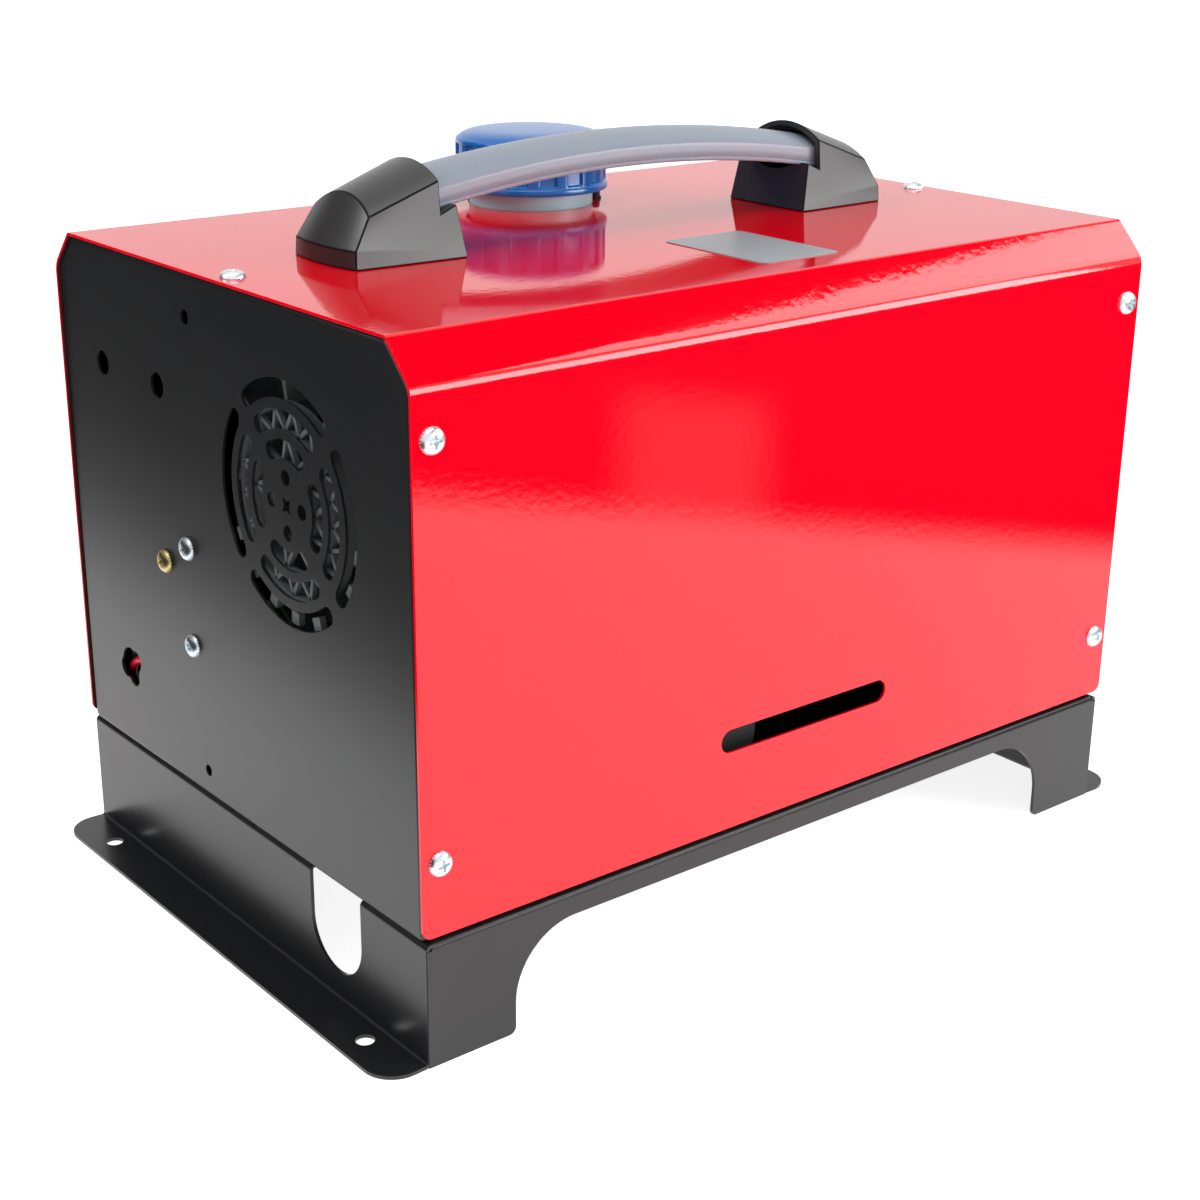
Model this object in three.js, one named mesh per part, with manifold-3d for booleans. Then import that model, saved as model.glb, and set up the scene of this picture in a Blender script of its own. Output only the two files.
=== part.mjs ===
// A portable diesel air heater in a folded sheet-steel case with a carrying handle.
// Millimetres, +Z up. The origin is on the floor at the middle of the footprint.
// +X runs along the case from the air-intake end to the hot-air end, and -Y is the front.
import * as THREE from "three";
import { mergeVertices } from "three/addons/utils/BufferGeometryUtils.js";
import Module from "manifold-3d";

const wasm = await Module();
wasm.setup();

// ---------------------------------------------------------------- driving dimensions

const fit = 0.3; // clearance between pieces that touch or pass through each other

const cover = {
  length: 380,
  width: 263,
  headroom: 5.9,
  sheet: 1.2,
  bend: 2.4,
  chamferAcross: 14,
  chamferDown: 15,
  floorGap: 2.4,
  cornerRadius: 4,
};
const base = {
  length: 377.4,
  height: 50.6,
  sheet: 1.5,
  bend: 2.5,
  flange: 19.7,
  flangeCorner: 13,
  flangeHoleRadius: 3.7,
  flangeHoleInset: 10.8,
  flangeHoleSpacing: 205,
  seam: 0.25,
  relief: 5,
};
const arch = { halfLength: 149, height: 41, radius: 28, toeRadius: 3 };
const notch = { y: -70, width: 35.4, bottom: 12.4, deckCut: 6 };
const endPlate = { sheet: 1.2, inset: 0.8, rim: 18, bevel: 1.2, cornerRadius: 3 };
const slot = { x: -2.5, aboveDeck: 40.4, length: 92, height: 9.8 };
const screw = {
  shank: 2.4,
  head: 4.9,
  headHeight: 2.8,
  length: 9,
  recess: 1.1,
  fromEnd: 8,
  fromTop: 33.5,
  aboveBase: 31.2,
  topY: -4,
};
const vent = {
  y: -48,
  fromTop: 75.5,
  slotWidth: 7.4,
  rings: [
    { radius: 43.4, halfAngle: 36 },
    { radius: 32.1, halfAngle: 32.5 },
    { radius: 21.1, halfAngle: 26.5 },
  ],
  holeCircle: 10.5,
  holeRadius: 3.1,
  starRadius: 4,
};
const handle = {
  inner: 90,
  reach: 54.4,
  noseBulge: 3,
  halfWidth: 23.5,
  crownWidth: 21,
  hoodEnd: 11,
  ridge: 42,
  sideHeight: 30,
  crownHeight: 36.5,
  ridgeDrop: 10.5,
  seatInner: 20.6,
  seatOuter: 17.5,
  lean: 3.8,
  skirtInner: 2,
  skirtNose: 7,
  boltRadius: 3,
  boltHead: 5,
  boltFromInner: 27,
};
const strap = {
  halfWidth: 17.5,
  side: 8,
  crown: 5,
  middle: 27,
  sag: 8,
  halfSpan: 97,
  halfLength: 124,
  steps: 22,
};
const label = { x: 14, fromFront: 59.5, length: 41.5, width: 59, thickness: 0.3, corner: 3 };
const filler = {
  x: 12,
  y: 71,
  radius: 27.7,
  bore: 24.5,
  height: 24.5,
  thread: 1,
  pitch: 6,
  turns: 1.5,
};
const cap = {
  radius: 34.4,
  ribRadius: 33.6,
  landDepth: 1.3,
  ribs: 16,
  bottom: 6.7,
  lip: 3,
  shoulder: 25,
  height: 30.4,
  bore: 29.2,
  sealThickness: 1.4,
};
const tank = {
  left: -118,
  right: 150,
  front: 23,
  back: 124.5,
  height: 212,
  wall: 2.5,
  corner: 14,
  bevel: 7,
  spigotY: 100,
  spigotAbove: 22,
  spigotLength: 14,
};
const ventPlug = { x: 40.6, y: 60, radius: 2.3, height: 4.6, stem: 5 };
const pipe = { fuelRadius: 2.5, fuelBore: 1.6, spigotRadius: 2.2, leadRadius: 1.7 };
const pump = {
  x: -168,
  y: 31,
  belowVent: 58.3,
  length: 50,
  radius: 13,
  bore: 5.4,
  barb: 6,
  stroke: 1.5,
  plungerLength: 24,
  clampWall: 2.2,
  clampWidth: 14,
  earSpacing: 41.4,
};
const filter = { x: -162, y: 52, aboveDeck: 29.4, length: 30, radius: 9, barb: 7 };
const shell = {
  left: -148,
  right: 108,
  halfWidth: 51,
  halfHeight: 55,
  wall: 2.5,
  corner: 20,
  seam: 0.3,
};
const grille = { front: -178, radius: 51, wall: 2.5, spokes: 6, ribWidth: 2.4, merlon: 12 };
const hood = { end: 176, radius: 39.5, wall: 2.2 };
const outlet = { radius: 37.4, wall: 2.4, flange: 46, flangeThickness: 2.4, length: 15 };
const exchanger = { left: -45, right: 104, core: 33, fins: 18, fin: 46.5, finWidth: 2, bore: 27 };
const burner = { left: -50, right: 78, radius: 22, wall: 1.6, flange: 45, flangeThickness: 4 };
const motor = { left: -116, right: 68, radius: 26, length: 46, shaft: 3 };
const airFan = { left: -140, length: 18, radius: 42, hub: 16, blades: 9, bladeWidth: 2 };
const sideFan = { left: -66, length: 11, radius: 34, hub: 12, blades: 9, bladeWidth: 2 };
const stand = {
  left: -118,
  right: -16,
  gasket: 3,
  sheet: 2,
  front: -116,
  back: 8,
  foot: 14,
  corner: 26,
  bend: 3,
};
const flue = { x: -32, y: -66, radius: 12, wall: 1.5, below: 16 };
const airPipe = { x: -86, y: -66, radius: 12, wall: 1.5, below: 16 };
const board = { left: -142, right: -96, y: -48, width: 60, above: 4, thickness: 1.6 };
const controller = {
  fromBack: 63.5,
  fromTop: 74,
  width: 76,
  height: 58,
  depth: 13,
  corner: 6,
  wall: 1.6,
  lensWidth: 54,
  lensHeight: 27,
  lensRise: 10,
  lensThickness: 1.6,
  buttonRadius: 4.6,
  buttonDrop: 17,
  buttonSpacing: 16,
  buttonDepth: 6,
  buttonProud: 2,
  travel: 0.8,
  cableHole: 6,
};

// ---------------------------------------------------------------- shapes and solids

// A closed three.js geometry as a solid that can be joined and cut.
function solid(geometry) {
  const bare = geometry.index ? geometry.toNonIndexed() : geometry.clone();
  for (const name of Object.keys(bare.attributes)) {
    if (name !== "position") bare.deleteAttribute(name);
  }
  const merged = mergeVertices(bare, 1e-4);
  const body = new wasm.Manifold(
    new wasm.Mesh({
      numProp: 3,
      vertProperties: merged.attributes.position.array,
      triVerts: new Uint32Array(merged.index.array),
    }),
  );
  if (body.volume() <= 0) throw new Error("a surface is inside out");
  return body;
}

function joined(first, ...rest) {
  return rest.reduce((whole, next) => whole.add(next), first);
}

function cut(body, ...tools) {
  return tools.reduce((left, tool) => left.subtract(tool), body);
}

function placed(geometry, xAxis, yAxis, zAxis, origin) {
  const matrix = new THREE.Matrix4().makeBasis(xAxis, yAxis, zAxis).setPosition(origin);
  return geometry.applyMatrix4(matrix);
}

const X = new THREE.Vector3(1, 0, 0);
const Y = new THREE.Vector3(0, 1, 0);
const Z = new THREE.Vector3(0, 0, 1);
const vec = (x, y, z) => new THREE.Vector3(x, y, z);
const at = (x, y) => new THREE.Vector2(x, y);

// A shape drawn as (y, z) and carried along X.
function alongX(shape, from, to, options = {}) {
  const geometry = new THREE.ExtrudeGeometry(shape, {
    depth: to - from,
    bevelEnabled: false,
    curveSegments: 6,
    ...options,
  });
  return solid(placed(geometry, Y, Z, X, vec(from, 0, 0)));
}

// A shape drawn as (x, z) and carried along Y.
function alongY(shape, from, to) {
  const geometry = new THREE.ExtrudeGeometry(shape, {
    depth: to - from,
    bevelEnabled: false,
    curveSegments: 6,
  });
  return solid(placed(geometry, X, Z, Y.clone().negate(), vec(0, to, 0)));
}

// A shape drawn as (x, y) and carried along Z.
function alongZ(shape, from, to, options = {}) {
  const geometry = new THREE.ExtrudeGeometry(shape, {
    depth: to - from,
    bevelEnabled: false,
    curveSegments: 6,
    ...options,
  });
  return solid(geometry.translate(0, 0, from));
}

function block(x0, x1, y0, y1, z0, z1) {
  const geometry = new THREE.BoxGeometry(x1 - x0, y1 - y0, z1 - z0);
  return solid(geometry.translate((x0 + x1) / 2, (y0 + y1) / 2, (z0 + z1) / 2));
}

// A round bar between two points.
function rod(radius, from, to, sides = 16) {
  const axis = to.clone().sub(from);
  const geometry = new THREE.CylinderGeometry(radius, radius, axis.length(), sides);
  const turn = new THREE.Quaternion().setFromUnitVectors(Y, axis.clone().normalize());
  const middle = from.clone().add(to).multiplyScalar(0.5);
  return solid(geometry.applyQuaternion(turn).translate(middle.x, middle.y, middle.z));
}

function barX(radius, x0, x1, y, z, sides = 24) {
  return rod(radius, vec(x0, y, z), vec(x1, y, z), sides);
}

function barZ(radius, z0, z1, x, y, sides = 24) {
  return rod(radius, vec(x, y, z0), vec(x, y, z1), sides);
}

// A polygon drawn with its corners rounded to one radius.
function rounded(points, radius, steps = 3) {
  const outline = [];
  points.forEach((corner, i) => {
    const before = points[(i + points.length - 1) % points.length];
    const after = points[(i + 1) % points.length];
    const inward = corner.clone().sub(before).normalize();
    const outward = after.clone().sub(corner).normalize();
    const turn = Math.atan2(inward.cross(outward), inward.dot(outward));
    const side = Math.sign(turn);
    const start = corner.clone().addScaledVector(inward, -radius * Math.tan(Math.abs(turn) / 2));
    const normal = at(-inward.y, inward.x).multiplyScalar(side * radius);
    const centre = start.clone().add(normal);
    for (let step = 0; step <= steps; step++) {
      outline.push(start.clone().rotateAround(centre, (turn * step) / steps));
    }
  });
  return new THREE.Shape(outline);
}

function rectangle(x0, x1, y0, y1) {
  return [at(x0, y0), at(x1, y0), at(x1, y1), at(x0, y1)];
}

// A convex polygon, drawn anticlockwise, moved inwards on every side.
function inset(points, distance) {
  const lines = points.map((from, i) => {
    const direction = points[(i + 1) % points.length].clone().sub(from).normalize();
    const normal = at(-direction.y, direction.x);
    return { from: from.clone().addScaledVector(normal, distance), direction };
  });
  return lines.map((line, i) => {
    const last = lines[(i + lines.length - 1) % lines.length];
    const gap = line.from.clone().sub(last.from);
    const along = gap.cross(line.direction) / last.direction.cross(line.direction);
    return last.from.clone().addScaledVector(last.direction, along);
  });
}

// Folded sheet metal seen from its end: the sheet lies to the right of the line.
function folded(line, thickness, bend, steps = 3) {
  const face = [];
  const back = [];
  const put = (point, direction) => {
    face.push(point);
    back.push(point.clone().add(at(direction.y, -direction.x).multiplyScalar(thickness)));
  };
  line.forEach((corner, i) => {
    const before = i > 0 ? corner.clone().sub(line[i - 1]).normalize() : null;
    const after = i < line.length - 1 ? line[i + 1].clone().sub(corner).normalize() : null;
    if (!before || !after) {
      put(corner.clone(), before || after);
      return;
    }
    const turn = Math.atan2(before.cross(after), before.dot(after));
    const radius = turn < 0 ? bend : bend - thickness;
    const start = corner.clone().addScaledVector(before, -radius * Math.tan(Math.abs(turn) / 2));
    const normal = at(-before.y, before.x).multiplyScalar(Math.sign(turn) * radius);
    const centre = start.clone().add(normal);
    for (let step = 0; step <= steps; step++) {
      const angle = (turn * step) / steps;
      put(start.clone().rotateAround(centre, angle), before.clone().rotateAround(at(0, 0), angle));
    }
  });
  return new THREE.Shape([...face, ...back.reverse()]);
}

function circlePoints(radius, count, x = 0, y = 0, phase = 0) {
  return Array.from({ length: count }, (_, i) => {
    const angle = phase + (2 * Math.PI * i) / count;
    return at(x + radius * Math.cos(angle), y + radius * Math.sin(angle));
  });
}

function circleShape(radius, count, x = 0, y = 0) {
  return new THREE.Shape(circlePoints(radius, count, x, y));
}

// A star or gear outline: each tooth has its own inner and outer radius and width.
function toothed(inner, outer, teeth, toothWidth, x, y, phase = 0) {
  const outline = [];
  const innerHalf = Math.asin(toothWidth / 2 / inner);
  const outerHalf = Math.asin(toothWidth / 2 / outer);
  for (let i = 0; i < teeth; i++) {
    const middle = phase + (2 * Math.PI * i) / teeth;
    for (const [radius, angle] of [
      [inner, middle - innerHalf],
      [outer, middle - outerHalf],
      [outer, middle + outerHalf],
      [inner, middle + innerHalf],
    ]) {
      outline.push(at(x + radius * Math.cos(angle), y + radius * Math.sin(angle)));
    }
  }
  return new THREE.Shape(outline);
}

// A slot bent round a centre, with round ends.
function arcSlot(radius, width, middle, halfAngle, x, y) {
  const outline = [];
  const steps = Math.round(2 + radius / 10);
  const end = 3;
  for (let i = 0; i <= steps; i++) {
    const angle = middle - halfAngle + (2 * halfAngle * i) / steps;
    const r = radius + width / 2;
    outline.push(at(x + r * Math.cos(angle), y + r * Math.sin(angle)));
  }
  const round = (angle, from) => {
    const centre = at(x + radius * Math.cos(angle), y + radius * Math.sin(angle));
    for (let i = 1; i < end; i++) {
      const turn = from + (Math.PI * i) / end;
      outline.push(at(centre.x + (width / 2) * Math.cos(turn), centre.y + (width / 2) * Math.sin(turn)));
    }
  };
  round(middle + halfAngle, middle + halfAngle);
  for (let i = steps; i >= 0; i--) {
    const angle = middle - halfAngle + (2 * halfAngle * i) / steps;
    const r = radius - width / 2;
    outline.push(at(x + r * Math.cos(angle), y + r * Math.sin(angle)));
  }
  round(middle - halfAngle, middle - halfAngle + Math.PI);
  return new THREE.Shape(outline);
}

// A turned piece: the profile is (radius, height) and turns round an upright axis.
function turned(profile, sides = 24) {
  const geometry = new THREE.LatheGeometry(
    profile.map(([radius, height]) => at(radius, height)),
    sides,
  );
  return placed(geometry, X, Z, Y.clone().negate(), vec(0, 0, 0));
}

// A hose or wire along a smooth curve through the points.
function tube(points, radius, steps, sides, bore = 0) {
  const path = new THREE.CatmullRomCurve3(points);
  const geometry = new THREE.ExtrudeGeometry(circleShape(radius, sides), {
    steps,
    extrudePath: path,
    bevelEnabled: false,
  });
  if (!bore) return solid(geometry);
  const inside = new THREE.ExtrudeGeometry(circleShape(bore, sides), {
    steps,
    extrudePath: path,
    bevelEnabled: false,
  });
  return solid(geometry).subtract(solid(inside));
}

// ---------------------------------------------------------------- the case outline

const halfLength = cover.length / 2;
const halfWidth = cover.width / 2;
const deckTop = base.height;
const coverBottom = deckTop + cover.floorGap;
const tankBottom = deckTop + fit;
const tankTop = tankBottom + tank.height;
const underCover = tankTop + cover.headroom;
const coverTop = underCover + cover.sheet;
const ventZ = coverTop - vent.fromTop;
const pumpZ = ventZ - pump.belowVent;
const filterZ = deckTop + filter.aboveDeck;

// The end view of the cover's outside, as (y, z), from a given height up.
function caseOutline(bottom) {
  return [
    at(-halfWidth, bottom),
    at(halfWidth, bottom),
    at(halfWidth, coverTop - cover.chamferDown),
    at(halfWidth - cover.chamferAcross, coverTop),
    at(-halfWidth + cover.chamferAcross, coverTop),
    at(-halfWidth, coverTop - cover.chamferDown),
  ];
}

const screwX = halfLength - screw.fromEnd;
const screwHeights = [coverTop - screw.fromTop, deckTop + screw.aboveBase];
const coverHole = screw.shank + 2 * fit;
const rimHole = screw.shank + fit;

// ---------------------------------------------------------------- base

function baseTray() {
  const halfBase = base.length / 2;
  const flangeEdge = halfBase + base.flange;
  const endProfile = folded(
    [
      at(-flangeEdge, base.sheet),
      at(-halfBase, base.sheet),
      at(-halfBase, base.height),
      at(halfBase, base.height),
      at(halfBase, base.sheet),
      at(flangeEdge, base.sheet),
    ],
    base.sheet,
    base.bend,
  );
  const sideProfile = folded(
    [
      at(-halfWidth, 0),
      at(-halfWidth, base.height),
      at(halfWidth, base.height),
      at(halfWidth, 0),
    ],
    base.sheet,
    base.bend,
  );
  const endReach = halfWidth - base.sheet - base.seam;
  const ends = alongY(endProfile, -endReach, endReach);
  const sides = alongX(sideProfile, -halfBase, halfBase);
  const envelope = alongY(
    rounded(rectangle(-halfBase, halfBase, -base.height, base.height), base.bend),
    -halfWidth,
    halfWidth,
  );
  const plan = alongZ(
    rounded(rectangle(-flangeEdge, flangeEdge, -halfWidth, halfWidth), base.flangeCorner, 5),
    -1,
    base.height + 1,
  );
  let tray = joined(ends, sides.intersect(envelope)).intersect(plan);
  tray = cut(tray, archCutter(), notchCutter(halfBase));
  for (const end of [-1, 1]) {
    for (const side of [-1, 1]) {
      const holeX = end * (flangeEdge - base.flangeHoleInset);
      const holeY = (side * base.flangeHoleSpacing) / 2;
      tray = cut(tray, barZ(base.flangeHoleRadius, -1, base.sheet + 1, holeX, holeY, 16));
      tray = cut(tray, reliefCutter(end * halfBase, side * endReach));
    }
  }
  return cut(
    tray,
    barZ(flue.radius + 2, base.height - 4, base.height + 1, flue.x, flue.y),
    barZ(airPipe.radius + 2, base.height - 4, base.height + 1, airPipe.x, airPipe.y),
  );
}

// The long arch under each long side, with a small radius at the toe of each leg.
function archCutter() {
  const { halfLength: half, height, radius, toeRadius: toe } = arch;
  const shape = new THREE.Shape();
  shape.moveTo(-half - toe, -1);
  shape.lineTo(-half - toe, 0);
  shape.absarc(-half - toe, toe, toe, -Math.PI / 2, 0, false);
  shape.lineTo(-half, height - radius);
  shape.absarc(-half + radius, height - radius, radius, Math.PI, Math.PI / 2, true);
  shape.lineTo(half - radius, height);
  shape.absarc(half - radius, height - radius, radius, Math.PI / 2, 0, true);
  shape.lineTo(half, toe);
  shape.absarc(half + toe, toe, toe, Math.PI, 1.5 * Math.PI, false);
  shape.lineTo(half + toe, -1);
  const clear = base.sheet + 1;
  return joined(
    alongY(shape, -halfWidth - 1, -halfWidth + clear),
    alongY(shape, halfWidth - clear, halfWidth + 1),
  );
}

// The round-bottomed notch in the end wall that lets the pipes out.
function notchCutter(halfBase) {
  const radius = notch.width / 2;
  const shape = new THREE.Shape();
  shape.moveTo(notch.y - radius, base.height + 1);
  shape.lineTo(notch.y - radius, notch.bottom + radius);
  shape.absarc(notch.y, notch.bottom + radius, radius, Math.PI, 2 * Math.PI, false);
  shape.lineTo(notch.y + radius, base.height + 1);
  return alongX(shape, -halfBase - 1, -halfBase + notch.deckCut);
}

// The bend relief where the end wall, the floor flange and the long side meet.
function reliefCutter(x, y) {
  const out = Math.sign(x);
  const back = Math.sign(y);
  const xs = [x + out * 0.5, x - out * (base.sheet + 1)].sort((a, b) => a - b);
  const ys = [y + back * 0.1, y - back * base.relief * 0.7].sort((a, b) => a - b);
  return block(xs[0], xs[1], ys[0], ys[1], -1, base.relief);
}

// ---------------------------------------------------------------- end plates

function endPan() {
  const outside = inset(caseOutline(deckTop + fit - cover.sheet - fit), cover.sheet + fit);
  const inside = inset(outside, endPlate.sheet);
  const outer = alongX(
    rounded(outside, endPlate.cornerRadius),
    endPlate.bevel,
    endPlate.rim + 3 * endPlate.bevel,
    {
      bevelEnabled: true,
      bevelThickness: endPlate.bevel,
      bevelSize: endPlate.bevel,
      bevelOffset: -endPlate.bevel,
      bevelSegments: 1,
    },
  );
  const pocket = alongX(
    rounded(inside, endPlate.cornerRadius - endPlate.sheet),
    endPlate.sheet,
    endPlate.rim + 5 * endPlate.bevel,
  );
  const trim = block(
    endPlate.rim,
    endPlate.rim + 6 * endPlate.bevel,
    -cover.width,
    cover.width,
    0,
    2 * coverTop,
  );
  return cut(outer, pocket, trim);
}

// The folded pan with its rim holes, standing at the intake end and facing -X.
function pannedPlate() {
  const left = -halfLength + endPlate.inset;
  let pan = endPan().translate([left, 0, 0]);
  const reach = halfWidth + 1;
  for (const z of screwHeights) {
    for (const side of [-1, 1]) {
      const from = vec(-screwX, side * (reach - screw.length), z);
      pan = cut(pan, rod(rimHole, from, vec(-screwX, side * reach, z), 10));
    }
  }
  return cut(pan, barZ(rimHole, coverTop - screw.length, coverTop, -screwX, screw.topY, 10));
}

function panelHole(radius, y, z, sides = 14) {
  return barX(radius, -halfLength - 1, -halfLength + 6, y, z, sides);
}

const spareHoles = [
  { y: 95.2, z: coverTop - 50.2, radius: 5.3 },
  { y: 48.2, z: coverTop - 50.2, radius: 5.3 },
  { y: 22, z: coverTop - 18.5, radius: 3.1 },
  { y: 24.7, z: deckTop + 12, radius: 2.5 },
];
const cableHole = { y: 91.5, z: deckTop + 37.4, radius: 7.8, lobe: 3.4, lobeCircle: 7.6 };
const earthScrew = { y: 50.6, z: pumpZ + 10.2 };

function leftEndPlate() {
  let plate = pannedPlate();
  const face = [-halfLength - 1, -halfLength + 6];
  for (const ring of vent.rings) {
    for (let quarter = 0; quarter < 4; quarter++) {
      const halfAngle = THREE.MathUtils.degToRad(ring.halfAngle);
      const middle = (quarter * Math.PI) / 2;
      const shape = arcSlot(ring.radius, vent.slotWidth, middle, halfAngle, vent.y, ventZ);
      plate = cut(plate, alongX(shape, ...face));
    }
  }
  for (const { x, y } of circlePoints(vent.holeCircle, 4)) {
    plate = cut(plate, panelHole(vent.holeRadius, vent.y + x, ventZ + y, 12));
  }
  const star = circlePoints(vent.starRadius, 8, vent.y, ventZ).map((point, i) =>
    i % 2 ? point : at(vent.y, ventZ).lerp(point, 0.55),
  );
  plate = cut(plate, alongX(new THREE.Shape(star), ...face));
  for (const hole of spareHoles) {
    plate = cut(plate, panelHole(hole.radius, hole.y, hole.z));
  }
  plate = cut(plate, panelHole(cableHole.radius, cableHole.y, cableHole.z));
  for (const { x, y } of circlePoints(cableHole.lobeCircle, 4, 0, 0, Math.PI / 4).slice(1)) {
    plate = cut(plate, panelHole(cableHole.lobe, cableHole.y + x, cableHole.z + y, 12));
  }
  for (const z of [pumpZ - pump.earSpacing / 2, pumpZ + pump.earSpacing / 2]) {
    plate = cut(plate, panelHole(rimHole, pump.y, z, 10));
  }
  return cut(plate, panelHole(rimHole, earthScrew.y, earthScrew.z, 10));
}

function rightEndPlate() {
  const outletRadius = outlet.radius + outlet.wall + fit;
  return cut(
    pannedPlate(),
    panelHole(outletRadius, vent.y, ventZ, 28),
    panelHole(controller.cableHole, controllerY, controllerZ),
  ).mirror([1, 0, 0]);
}

// ---------------------------------------------------------------- cover

function coverShell() {
  const outline = caseOutline(coverBottom);
  const line = [outline[0], outline[5], outline[4], outline[3], outline[2], outline[1]];
  let shell_ = alongX(folded(line, cover.sheet, cover.bend), -halfLength, halfLength);
  for (const end of [-1, 1]) {
    for (const y of [-halfWidth - 1, halfWidth - 4]) {
      shell_ = cut(shell_, alongY(cornerOffcut(end), y, y + 5));
    }
  }
  const through = [-halfWidth - 1, -halfWidth + 3];
  shell_ = cut(shell_, alongY(slotShape(), ...through));
  for (const side of [-1, 1]) {
    for (const end of [-1, 1]) {
      for (const z of screwHeights) {
        const from = vec(end * screwX, side * (halfWidth - 4), z);
        const to = vec(end * screwX, side * (halfWidth + 1), z);
        shell_ = cut(shell_, rod(coverHole, from, to, 10));
      }
    }
  }
  for (const end of [-1, 1]) {
    const boltX = end * (handle.inner + handle.boltFromInner);
    shell_ = cut(
      shell_,
      barZ(coverHole, coverTop - 4, coverTop + 1, end * screwX, screw.topY, 10),
      barZ(handle.boltRadius + fit, coverTop - 4, coverTop + 1, boltX, 0, 12),
    );
  }
  return cut(
    shell_,
    barZ(filler.radius + 2 * fit, coverTop - 4, coverTop + 1, filler.x, filler.y, 32),
    barZ(ventPlug.radius - fit, coverTop - 4, coverTop + 1, ventPlug.x, ventPlug.y, 12),
  );
}

// What is left outside the rounded lower corner of a long side.
function cornerOffcut(end) {
  const radius = cover.cornerRadius;
  const shape = new THREE.Shape();
  const centre = at(halfLength - radius, coverBottom + radius);
  const points = [at(halfLength + 1, coverBottom + radius), at(halfLength, coverBottom + radius)];
  for (let step = 1; step < 4; step++) {
    const angle = (-step * Math.PI) / 8;
    points.push(at(centre.x + radius * Math.cos(angle), centre.y + radius * Math.sin(angle)));
  }
  points.push(at(centre.x, coverBottom), at(centre.x, coverBottom - 1));
  points.push(at(halfLength + 1, coverBottom - 1));
  shape.setFromPoints(points.map((point) => at(end * point.x, point.y)));
  return shape;
}

function slotShape() {
  const slotZ = deckTop + slot.aboveDeck;
  const radius = slot.height / 2;
  const half = slot.length / 2;
  return rounded(
    rectangle(slot.x - half, slot.x + half, slotZ - radius, slotZ + radius),
    radius - 0.01,
    5,
  );
}

function ratingLabel() {
  const labelY = -halfWidth + label.fromFront;
  const shape = rounded(
    rectangle(
      label.x - label.length / 2,
      label.x + label.length / 2,
      labelY - label.width / 2,
      labelY + label.width / 2,
    ),
    label.corner,
  );
  const bottom = coverTop + fit / 6;
  return alongZ(shape, bottom, bottom + label.thickness);
}

// ---------------------------------------------------------------- screws

// A pan-head screw standing on the floor with its head up and a cross recess.
function panScrew(length = screw.length) {
  const { shank, head, headHeight, recess } = screw;
  const body = solid(
    turned(
      [
        [0, -length],
        [shank, -length],
        [shank, 0],
        [head, 0],
        [head, headHeight * 0.35],
        [head * 0.72, headHeight * 0.85],
        [0, headHeight],
      ],
      10,
    ),
  );
  const wing = head * 0.55;
  const depth = headHeight * 0.6;
  return cut(
    body,
    block(-wing, wing, -recess / 2, recess / 2, headHeight - depth, headHeight + 1),
    block(-recess / 2, recess / 2, -wing, wing, headHeight - depth, headHeight + 1),
  );
}

const seat = fit / 6;

// ---------------------------------------------------------------- handle

// The bracket at the +X side; local s runs from its inner end to its nose.
function handleBracket() {
  const from = handle.inner;
  const top = coverTop + seat;
  const { reach, lean, hoodEnd, ridge, crownHeight, ridgeDrop, noseBulge } = handle;
  const slope = ridgeDrop / (ridge - hoodEnd);
  const crownInner = crownHeight + 1;
  const noseTop = crownHeight - ridgeDrop;
  const profile = new THREE.Shape([
    at(from, top),
    at(from + reach, top),
    at(from + reach - 0.4, top + handle.skirtNose),
    at(from + ridge, top + noseTop + 0.6),
    at(from + hoodEnd, top + crownInner),
    at(from + hoodEnd, top + handle.seatOuter),
    at(from + lean, top + handle.seatInner),
  ]);
  const side = alongY(profile, -handle.halfWidth - 5, handle.halfWidth + 5);
  const vault = archPrism(from - 5, from + reach + 5, slope, from + hoodEnd, top);
  const nose = roundNose(from, top);
  const body = side.intersect(vault).intersect(nose);
  const skirtShape = new THREE.Shape([
    at(from, top),
    at(from + reach, top),
    at(from + reach, top + handle.skirtNose),
    at(from, top + handle.skirtInner),
  ]);
  const foot = alongZ(footprint(from, 0.35), top, top + handle.skirtNose + 1);
  const skirt = alongY(skirtShape, -handle.halfWidth - 5, handle.halfWidth + 5).intersect(foot);
  const channel = strapSolid(fit, strap.halfLength + fit);
  const boltX = from + handle.boltFromInner;
  const boltTop = top + strapHeight(boltX) + 4 + fit;
  return cut(joined(body, skirt), channel, barZ(handle.boltRadius + fit, top - 1, boltTop, boltX, 0, 12));
}

// The bracket's outline on the top of the cover, with a slightly round nose.
function footprint(from, proud) {
  const half = handle.halfWidth + proud;
  const straight = handle.reach - handle.noseBulge;
  const points = [at(from, -half)];
  const steps = 6;
  for (let i = 0; i <= steps; i++) {
    const across = -1 + (2 * i) / steps;
    points.push(at(from + straight + handle.noseBulge * (1 - across * across), across * half));
  }
  points.push(at(from, half));
  return new THREE.Shape(points);
}

// The same outline leaned back, so the nose falls away as a round slope.
function roundNose(from, top) {
  const rise = handle.crownHeight - handle.ridgeDrop;
  const run = handle.reach - handle.ridge;
  const lift = handle.crownHeight + 4;
  const geometry = new THREE.ExtrudeGeometry(footprint(from, 5), {
    depth: lift,
    bevelEnabled: false,
  });
  const shear = new THREE.Matrix4().set(
    1, 0, -run / (rise - handle.skirtNose), (run * handle.skirtNose) / (rise - handle.skirtNose),
    0, 1, 0, 0,
    0, 0, 1, 0,
    0, 0, 0, 1,
  );
  geometry.applyMatrix4(shear).translate(0, 0, top);
  const inner = block(from - 40, from + handle.ridge - 6, -60, 60, top, top + lift);
  return joined(solid(geometry), inner);
}

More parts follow.
